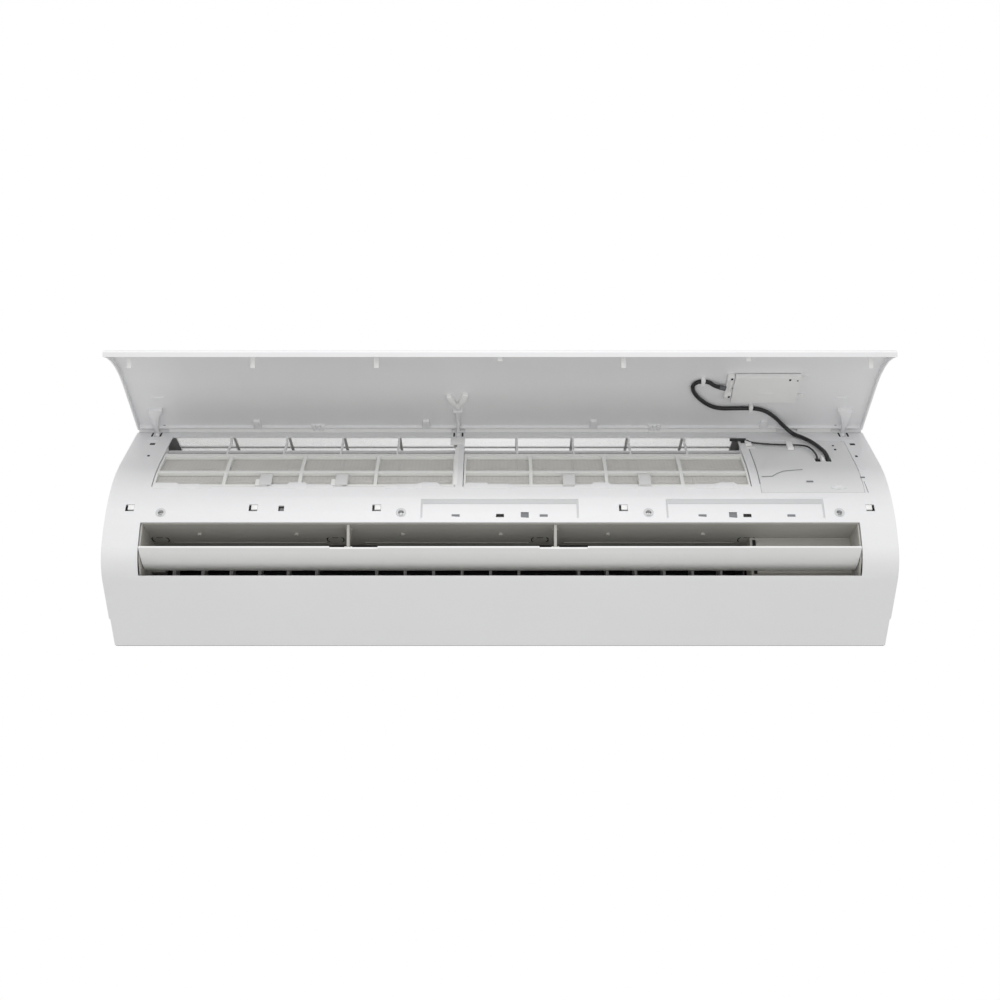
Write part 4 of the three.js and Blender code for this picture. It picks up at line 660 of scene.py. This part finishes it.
def wavy_rims(shape):
    for left, width in WELLS.items():
        for (share0, high0), (share1, high1) in zip(RIM_WAVE, RIM_WAVE[1:]):
            if high0 == high1 == 0:
                continue
            x0, x1 = (left + width * share for share in (share0, share1))
            flat(shape, on_face(0, WELL_RIM_AT, 0.9),
                 [(x0, -4), (x1 + 0.05, -4), (x1 + 0.05, high1 + 0.5), (x0, high0 + 0.5)], 1.0, 0.05)


def band(shape, x0, x1, at0, at1, low, high, steps=14):
    """A strip that follows the curve of the casing's face, between two depths under it."""
    rings = []
    for step in range(steps + 1):
        at = at0 + (at1 - at0) * step / steps
        rings.append([shape.verts.new(on_face(x, at, inset).translation)
                      for x, inset in ((x0, low), (x1, low), (x1, high), (x0, high))])
    faces = [shape.faces.new((a[n], a[(n + 1) % 4], b[(n + 1) % 4], b[n]))
             for a, b in zip(rings, rings[1:]) for n in range(4)]
    faces += [shape.faces.new(rings[0][::-1]), shape.faces.new(rings[-1])]
    bmesh.ops.recalc_face_normals(shape, faces=faces)


def centre_bridge(shape):
    block(shape, on_face(BRIDGE_X, 34.5, 0.7), (21, 25, 1.8), 0.7)
    band(shape, BRIDGE_X - 2.7, BRIDGE_X + 2.7, 60, 180, -0.5, 1.1)


piece("wavy_rims", CASING_PLASTIC, "unit", wavy_rims)
piece("centre_bridge", BRIGHT, "unit", centre_bridge)

# %% [markdown]
# ## Clips and slots
# Small bright clips hold the two leads on the casing. Behind each hook slot stands a bright
# tongue, and the slots' floors lie half in shade.

# %% Lead clips, tongues and floors
POCKET_SLOT_XS = (-61, 60, 278, 400, 34, 320)
SINGLE_SLOT_X = -300


def lead_fittings(shape):
    block(shape, on_face(423, 57, -2), (9, 26, 4.6), 1.2)
    block(shape, on_face(364, 42, -1.6), (9, 24, 3.6), 1.0)
    block(shape, on_face(366, 60, -0.1), (12, 5, 0.8), 0.3)
    block(shape, on_face(463.5, 99, -0.4), (4, 17, 2), 0.6)


def slot_tongues(shape):
    for x in HOOK_XS:
        if not in_pocket(x):
            side = -1 if x > 500 else 1
            block(shape, on_face(x + side * 1.4, 222.6, 2.4), (8.6, 8.2, 3.4), 0.6)


def slot_floors(shape):
    for x in HOOK_XS:
        if in_pocket(x):
            block(shape, on_face(x, 238, 5.4), (12, 4, 1), 0.3)
        else:
            block(shape, on_face(x, 229.6, 2.4), (11, 2.4, 2.4), 0.4)
    for x in POCKET_SLOT_XS:
        block(shape, on_face(x, 236, 2.7), (12, 9, 1), 0.3)
    block(shape, on_face(SINGLE_SLOT_X, 226, 4.4), (7, 8, 1), 0.3)


piece("lead_fittings", BRIGHT, "unit", lead_fittings)
piece("slot_tongues", BRIGHT, "unit", slot_tongues)
piece("slot_floors", SHADED, "unit", slot_floors)

# %% [markdown]
# ## Marks and steps
# The cover's wavy lower seam, its side seams and two small marks are strips a fraction of a
# millimetre high, in grey; the grey of the two marks, and of a crescent under each screw, is painted
# shade. A flat collar of a slightly darker white lies round each screw, and the upper and side
# edges of both pockets are lined with strips of that darker white: painted shade, as the screws'
# dimples and the pockets' steps look in shade.

# %% Half-lit marks and shaded steps
SCREW_XS = [-466, -136, 204, 466]
SCREW_AT = 232
COVER_WAVE = [(368, 160), (383, 159), (389, 153), (400, 145), (410, 143), (428, 140)]


def seam(shape, points, width, height=0.15):
    """A thin strip along points (x, at) on the casing's face."""
    for (x0, at0), (x1, at1) in zip(points, points[1:]):
        turn = Matrix.Rotation(math.atan2(at0 - at1, x1 - x0), 4, "Z")
        length = math.hypot(x1 - x0, at1 - at0) + width * 0.6
        block(shape, on_face((x0 + x1) / 2, (at0 + at1) / 2) @ turn, (length, width, 2 * height), 0.1)


def half_lit_marks(shape):
    seam(shape, COVER_WAVE, 1.0)
    band(shape, 362.4, 363.6, 66, 178, -0.15, 0.15)
    seam(shape, [(509, 172), (510, 184), (511, 196)], 0.7)
    for x, at, width, length in [(508.9, 162, 6.5, 3.0), (433.3, 172, 9.5, 3.2)]:
        block(shape, on_face(x, at), (width, length, 0.5), 0.2)
    # a crescent of painted shade at the lower edge of each screw's dimple
    for x in SCREW_XS:
        block(shape, on_face(x, SCREW_AT + 4.5), (5.5, 1.6, 0.5), 0.2)


def ring(shape, place, inner, outer, height, sides=32):
    """A flat collar around the frame's Z, highest at its outer edge."""
    rim = outer + 0.5
    rows = [(inner, 0.05), (outer, height), (rim, 0.02), (rim, -0.3), (inner, -0.3)]
    turns = [2 * math.pi * n / sides for n in range(sides)]
    loops = [[shape.verts.new(place @ Vector((radius * MM * math.cos(turn), radius * MM * math.sin(turn),
                                              high * MM)))
              for turn in turns] for radius, high in rows]
    for low, high in zip(loops, loops[1:] + loops[:1]):
        for n in range(sides):
            shape.faces.new((low[n], low[(n + 1) % sides], high[(n + 1) % sides], high[n]))
    bmesh.ops.recalc_face_normals(shape, faces=shape.faces)


def shaded_steps(shape):
    for x in SCREW_XS:
        ring(shape, on_face(x, SCREW_AT), 3.9, 6.6, 0.25)
    for low, high in POCKETS:
        for at in range(209, 216, 2):
            block(shape, on_face((low + high) / 2, at, 1.5), (high - low - 1, 2.0, 0.4), 0.05)
        for x in (low + 1.4, high - 1.4):
            for at in range(212, 242, 5):
                block(shape, on_face(x, at, 1.5), (2, 5, 0.4), 0.05)


piece("half_lit_marks", SHADED, "unit", half_lit_marks)
piece("shaded_steps", SOFT_SHADE, "unit", shaded_steps)

# %% [markdown]
# ## Nets, ribs and tabs
# A fine guard net lies under the top grille and softens what shows through its openings. The
# grille's ribs run on behind the filters: they are deeper, so they are set nearer to the middle,
# and show dimly through the nets, drawn in grey as painted shade. Each filter is pulled by two
# frosted tabs.

# %% Guard net, rear ribs and filter tabs
GUARD_AT = (-0.0675, -0.0525, 0.1625)
GUARD_SIZE = (832, 66, 0.6)
LATTICE_PITCH = 83
LATTICE_XS = [start + LATTICE_PITCH * count for start in (-399, 25) for count in range(4)]
DEEPER_SHARE = 0.963
TAB_SPACING = 53
TAB_FACE = [(-8.6, -13), (8.6, -13), (8.6, 12), (-8.6, 12)]


def guard_net(shape):
    block(shape, Matrix.Translation(GUARD_AT), GUARD_SIZE, 0.1)


def rear_ribs(shape):
    for x in LATTICE_XS:
        block(shape, on_face(x * DEEPER_SHARE, 112, 8.6), (4, 56, 1), 0.3)


def filter_tabs(side, middle):
    def build(shape):
        for x in (middle - TAB_SPACING, middle + TAB_SPACING):
            flat(shape, on_face(x, 169, -0.9), TAB_FACE, 1.1, 0.5)
            block(shape, on_face(x, 160, -2.2), (10, 1.4, 0.9), 0.3)
    piece(side + "_filter_tabs", TAB, side + "_filter", build)


piece("guard_net", GUARD, "unit", guard_net)
piece("rear_ribs", SHADED, "unit", rear_ribs)
filter_tabs("left", -274.5)
filter_tabs("right", 149.5)

# %% [markdown]
# ## Raised spots and small holes
# At both ends the moulding has raised spots and grooves, and a few small holes; the holes and the gaps
# beside the hinges are thin dark plates of painted shadow.

# %% Raised spots and holes
END_HOLES = [(-510, 46, 7.5, 6.5), (-507, 91, 3.6, 5), (517, 47, 7.5, 6.5), (513.7, 93, 3.6, 5.5),
             (487.5, 52, 3, 3.6), (488, 67, 3.2, 4.4)]  # x, at, width, length


def dome(shape, place, size):
    """A flattened ball, for a soft raised spot."""
    bmesh.ops.create_uvsphere(shape, u_segments=28, v_segments=14, radius=1,
                              matrix=place @ Matrix.Diagonal((*(s * MM for s in size), 1)))


def moulded_spots(shape):
    dome(shape, on_face(471.6, 184), (11, 5, 0.9))
    band(shape, 507, 518, 100, 144, -0.6, 0.6)
    for x in (512, -512):
        block(shape, on_face(x, 32, -0.3), (18, 5, 1), 0.4)
    seam(shape, [(369, 190), (369, 206), (452, 206)], 1.2, 0.25)


def casing_shadows(shape):
    for x, at, width, length in END_HOLES:
        block(shape, on_face(x, at), (width, length, 0.5), 0.2)
    for x in (-511, -62, 511):
        for side in (-1, 1):
            block(shape, on_face(x + side * 6.2, 9), (2.6, 15, 0.6), 0.2)


piece("moulded_spots", CASING_PLASTIC, "unit", moulded_spots)
piece("casing_shadow_gaps", SHADOW, "unit", casing_shadows)

# %% [markdown]
# ## Ceiling of the outlet
# The ceiling of the outlet shows four sprung clips as thin arcs of painted shadow, and a low rib
# along its length. Each arc is five short blocks on a circle.

# %% Clip marks and ceiling rib
CEILING_Z = -28.2
CLIP_XS = [-477, -231, 56, 346]
RIB_SPANS = [(-460, -245), (-190, 40), (90, 330)]


def ceiling(x, y):
    """A frame on the outlet's ceiling, with Z down."""
    return Matrix.Translation((x * MM, y * MM, CEILING_Z * MM)) @ Matrix.Rotation(math.pi, 4, "X")


def clip_marks(shape):
    for x in CLIP_XS:
        for side in (-1, 1):
            for degrees in range(-40, 41, 20):
                turn = math.radians(degrees)
                offset = side * (7 + 4.5 * math.cos(turn))
                place = ceiling(x + offset, -170 + 11 * math.sin(turn))
                block(shape, place @ Matrix.Rotation(-side * turn, 4, "Z"), (1.3, 5.2, 0.5), 0.1)
        block(shape, ceiling(x, -178), (9, 1.6, 0.5), 0.1)


def ceiling_rib(shape):
    for x0, x1 in RIB_SPANS:
        block(shape, ceiling((x0 + x1) / 2, -158), (x1 - x0, 1.6, 1.2), 0.3)


piece("ceiling_clip_marks", SHADOW, "unit", clip_marks)
piece("ceiling_rib", FINISH["duct"], "unit", ceiling_rib)

# %% [markdown]
# ## Drive cover, vane feet and bearing blocks
# At the outlet's right end a cover hides the louver's drive, with a gap beside it drawn as a dark
# plate of painted shadow. Each vane stands on a foot that turns with it, and a low block covers
# the bearing at the left end.

# %% Drive cover, feet and bearing blocks
COVER_AT, COVER_GAP_AT = (0.431, -0.1768, -0.0415), (0.3555, -0.1775, -0.0565)
COVER_FACE = [(-73, -40), (79, -40), (79, 9.5), (-66, 9.5), (-71, 7), (-73, 2)]
VANE_PITCH = 39.7
FIRST_VANE_XS = {1: -455, 2: -173, 3: 109}
BEARING_X = -0.479


def drive_cover(shape):
    place = Matrix.Translation(COVER_AT) @ Matrix.Rotation(QUARTER, 4, "X")
    flat(shape, place, COVER_FACE, 1.6, 0.8)


def drive_gap(shape):
    block(shape, Matrix.Translation(COVER_GAP_AT), (4.5, 1.2, 50), 0.2)


def vane_foot(group, count, x):
    def build(shape):
        block(shape, Matrix.Translation(((x + 5) * MM, -0.1665, -0.0835)), (7, 6, 6), 0.8)
        block(shape, Matrix.Translation(((x + 1.6) * MM, -0.1675, -0.079)), (2.6, 5, 14), 0.6)
    piece(f"vane_foot_{group}_{count}", FINISH["vane"], f"vane_{group}_{count}", build)


def end_blocks(shape):
    block(shape, Matrix.Translation((BEARING_X, -0.149, -0.0685)), (20, 18, 7), 1.2)
    block(shape, Matrix.Translation((BEARING_X, -0.158, -0.0625)), (22, 3, 2), 0.5)


piece("drive_cover", FINISH["duct"], "unit", drive_cover)
piece("drive_gap", SHADOW, "unit", drive_gap)
for group, first_x in FIRST_VANE_XS.items():
    for count in range(6):
        vane_foot(group, count + 1, first_x + VANE_PITCH * count)
piece("bearing_blocks", FINISH["vane_link"], "unit", end_blocks)

# %% [markdown]
# ## Routes of the leads
# The frame's leads are coarse tubes. Each is drawn again along a few points with a smooth round
# section. The points are given on the panel or on the face as x, at and the height of the lead's
# middle, which is little more than its radius where it lies on the surface. The heights stay
# under 5 mm on the casing, so that the shut panel clears the lead.

# %% Routes
LEAD_RADIUS, SENSOR_RADIUS, SLEEVE_RADIUS = 3, 1.3, 3.7
HUG = LEAD_RADIUS + 0.3
DISPLAY_ROUTE = [on_panel(*spot).translation for spot in [
    (323.5, 116, HUG + 2.6), (309, 121, HUG + 2), (298, 127.5, HUG), (285, 128.5, HUG),
    (277, 119, HUG), (281, 101, HUG), (293, 83, HUG), (308, 69, HUG), (324, 63, HUG),
    (346, 63, HUG), (371, 62.5, HUG), (388, 57, HUG + 0.3), (404, 43, HUG + 1), (419, 24, HUG + 2)]]
DISPLAY_ROUTE += [on_face(x, at, -height).translation for x, at, height in [
    (434, 14, 4.4), (446, 31, 4.4), (456, 48, 4.4), (464, 70, 4.4), (469, 90, 3.8),
    (471, 103, -1), (471, 106, -9)]]
SENSOR_ROUTE = [on_face(x, at, -height).translation for x, at, height in [
    (362.5, 40, 3.4), (371, 47, 2.6), (395, 52, 2.2), (425, 54, 2), (442, 59, 3),
    (450, 70, 4), (455, 90, 3), (456, 103, -1), (456, 106, -8)]]
print("route points:", len(DISPLAY_ROUTE), "and", len(SENSOR_ROUTE))


# %% [markdown]
# ## Drawing the leads
# A Catmull-Rom curve joins the points, and rings of vertices along it make the tube. The display
# lead crosses the hinge, from its last point on the panel to the first two on the casing. A grey
# shrink sleeve covers its end at the display box.

# %% Leads
def smooth_path(points, steps=8):
    """Catmull-Rom curve through the points."""
    ends = [2 * points[0] - points[1], *points, 2 * points[-1] - points[-2]]
    path = []
    for a, b, c, d in zip(ends, ends[1:], ends[2:], ends[3:]):
        for step in range(steps):
            t = step / steps
            path.append(0.5 * (2 * b + (c - a) * t + (2 * a - 5 * b + 4 * c - d) * t * t
                               + (3 * b - 3 * c + d - a) * t ** 3))
    return path + [points[-1]]


def tube(shape, path, radius, sides=18):
    """A round tube along a path, closed at both ends."""
    rings = []
    across = Vector((0, 0, 1))
    for i, centre in enumerate(path):
        ahead = (path[min(i + 1, len(path) - 1)] - path[max(i - 1, 0)]).normalized()
        across = (across - ahead * across.dot(ahead)).normalized()
        side = ahead.cross(across)
        rings.append([shape.verts.new(centre + radius * MM * (across * math.cos(k) + side * math.sin(k)))
                      for k in (2 * math.pi * n / sides for n in range(sides))])
    for low, high in zip(rings, rings[1:]):
        for n in range(sides):
            shape.faces.new((low[n], low[(n + 1) % sides], high[(n + 1) % sides], high[n]))
    shape.faces.new(rings[0][::-1])
    shape.faces.new(rings[-1])
    bmesh.ops.recalc_face_normals(shape, faces=shape.faces)


def lead_object(name, route, radius):
    shape = bmesh.new()
    tube(shape, smooth_path(route), radius)
    shade(shape, 60)
    mesh = bpy.data.meshes.new(name)
    shape.to_mesh(mesh)
    shape.free()
    mesh.materials.append(FINISH["lead"])
    thing = bpy.data.objects.new(name, mesh)
    scene.collection.objects.link(thing)
    print(name, len(mesh.polygons), "faces")
    return thing


display_lead = lead_object("display_lead_smooth", DISPLAY_ROUTE, LEAD_RADIUS)
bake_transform(display_lead)
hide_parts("display_lead")
sensor_lead = lead_object("sensor_lead_smooth", SENSOR_ROUTE, SENSOR_RADIUS)
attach(sensor_lead, "unit")
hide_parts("sensor_lead")
sleeve_end = DISPLAY_ROUTE[0].lerp(DISPLAY_ROUTE[1], 0.62)
sleeve_shape = bmesh.new()
tube(sleeve_shape, smooth_path([DISPLAY_ROUTE[0], sleeve_end], 4), SLEEVE_RADIUS)
shade(sleeve_shape, 60)
finish_mesh("shrink_sleeve", sleeve_shape, SLEEVE, "panel")

# %% [markdown]
# ## Floor
# The unit hangs on a wall, so a plain pale floor lies well under it.

# %% Floor
FLOOR_Z, FLOOR_HALF = -1.25, 9
floor_shape = bmesh.new()
bmesh.ops.create_grid(floor_shape, x_segments=1, y_segments=1, size=FLOOR_HALF,
                      matrix=Matrix.Translation((0, 0, FLOOR_Z)))
floor_mesh = bpy.data.meshes.new("studio_floor")
floor_shape.to_mesh(floor_mesh)
floor_shape.free()
floor = bpy.data.objects.new("studio_floor", floor_mesh)
scene.collection.objects.link(floor)
floor_material, tree, output, place = blank("pale_floor")
paper = add(tree, "ShaderNodeBsdfDiffuse", {"Color": linear("#F4F4F3")})
tree.links.new(paper.outputs[0], output.inputs[0])
floor.data.materials.append(floor_material)
print("floor at", FLOOR_Z, "m")

# %% [markdown]
# ## World
# The world fills the shadows with soft light. It is shown white to the camera and to reflections,
# which adds no light to the object.

# %% World
FILL_STRENGTH = 0.62
world = bpy.data.worlds.new("studio_world")
scene.world = world
world.use_nodes = True
tree = world.node_tree
tree.nodes.clear()
rays = add(tree, "ShaderNodeLightPath")
seen = add(tree, "ShaderNodeMath", {0: rays.outputs["Is Camera Ray"], 1: rays.outputs["Is Glossy Ray"]},
           operation="MAXIMUM")
seen = add(tree, "ShaderNodeMath", {0: seen.outputs[0], 1: rays.outputs["Is Transmission Ray"]},
           operation="MAXIMUM")
fill = add(tree, "ShaderNodeBackground", {"Color": linear("#FFFFFF"), "Strength": FILL_STRENGTH})
white = add(tree, "ShaderNodeBackground", {"Color": linear("#FFFFFF"), "Strength": 1.0})
sky = add(tree, "ShaderNodeMixShader", {0: seen.outputs[0], 1: fill.outputs[0], 2: white.outputs[0]})
add(tree, "ShaderNodeOutputWorld", {0: sky.outputs[0]})
print("world fill", FILL_STRENGTH)


# %% [markdown]
# ## Lamps
# Two broad lamps act as studio soft boxes: the one above lights the strip and the louver, and the
# one in front reaches the underside and the inner side of the panel.

# %% Lamps
def lamp(name, place_at, aim, size, power):
    """A square soft box that looks at a point."""
    data = bpy.data.lights.new(name, "AREA")
    data.size = size
    data.energy = power
    thing = bpy.data.objects.new(name, data)
    thing.location = place_at
    thing.rotation_euler = (Vector(aim) - Vector(place_at)).to_track_quat("-Z", "Y").to_euler()
    scene.collection.objects.link(thing)
    print(name, power, "W")
    return thing


lamp("soft_box_above", place_at=(0, -1.5, 1.7), aim=(0, -0.15, 0), size=1.3, power=18)
lamp("soft_box_front", place_at=(0, -3.0, -0.35), aim=(0, -0.2, 0.1), size=1.8, power=14)
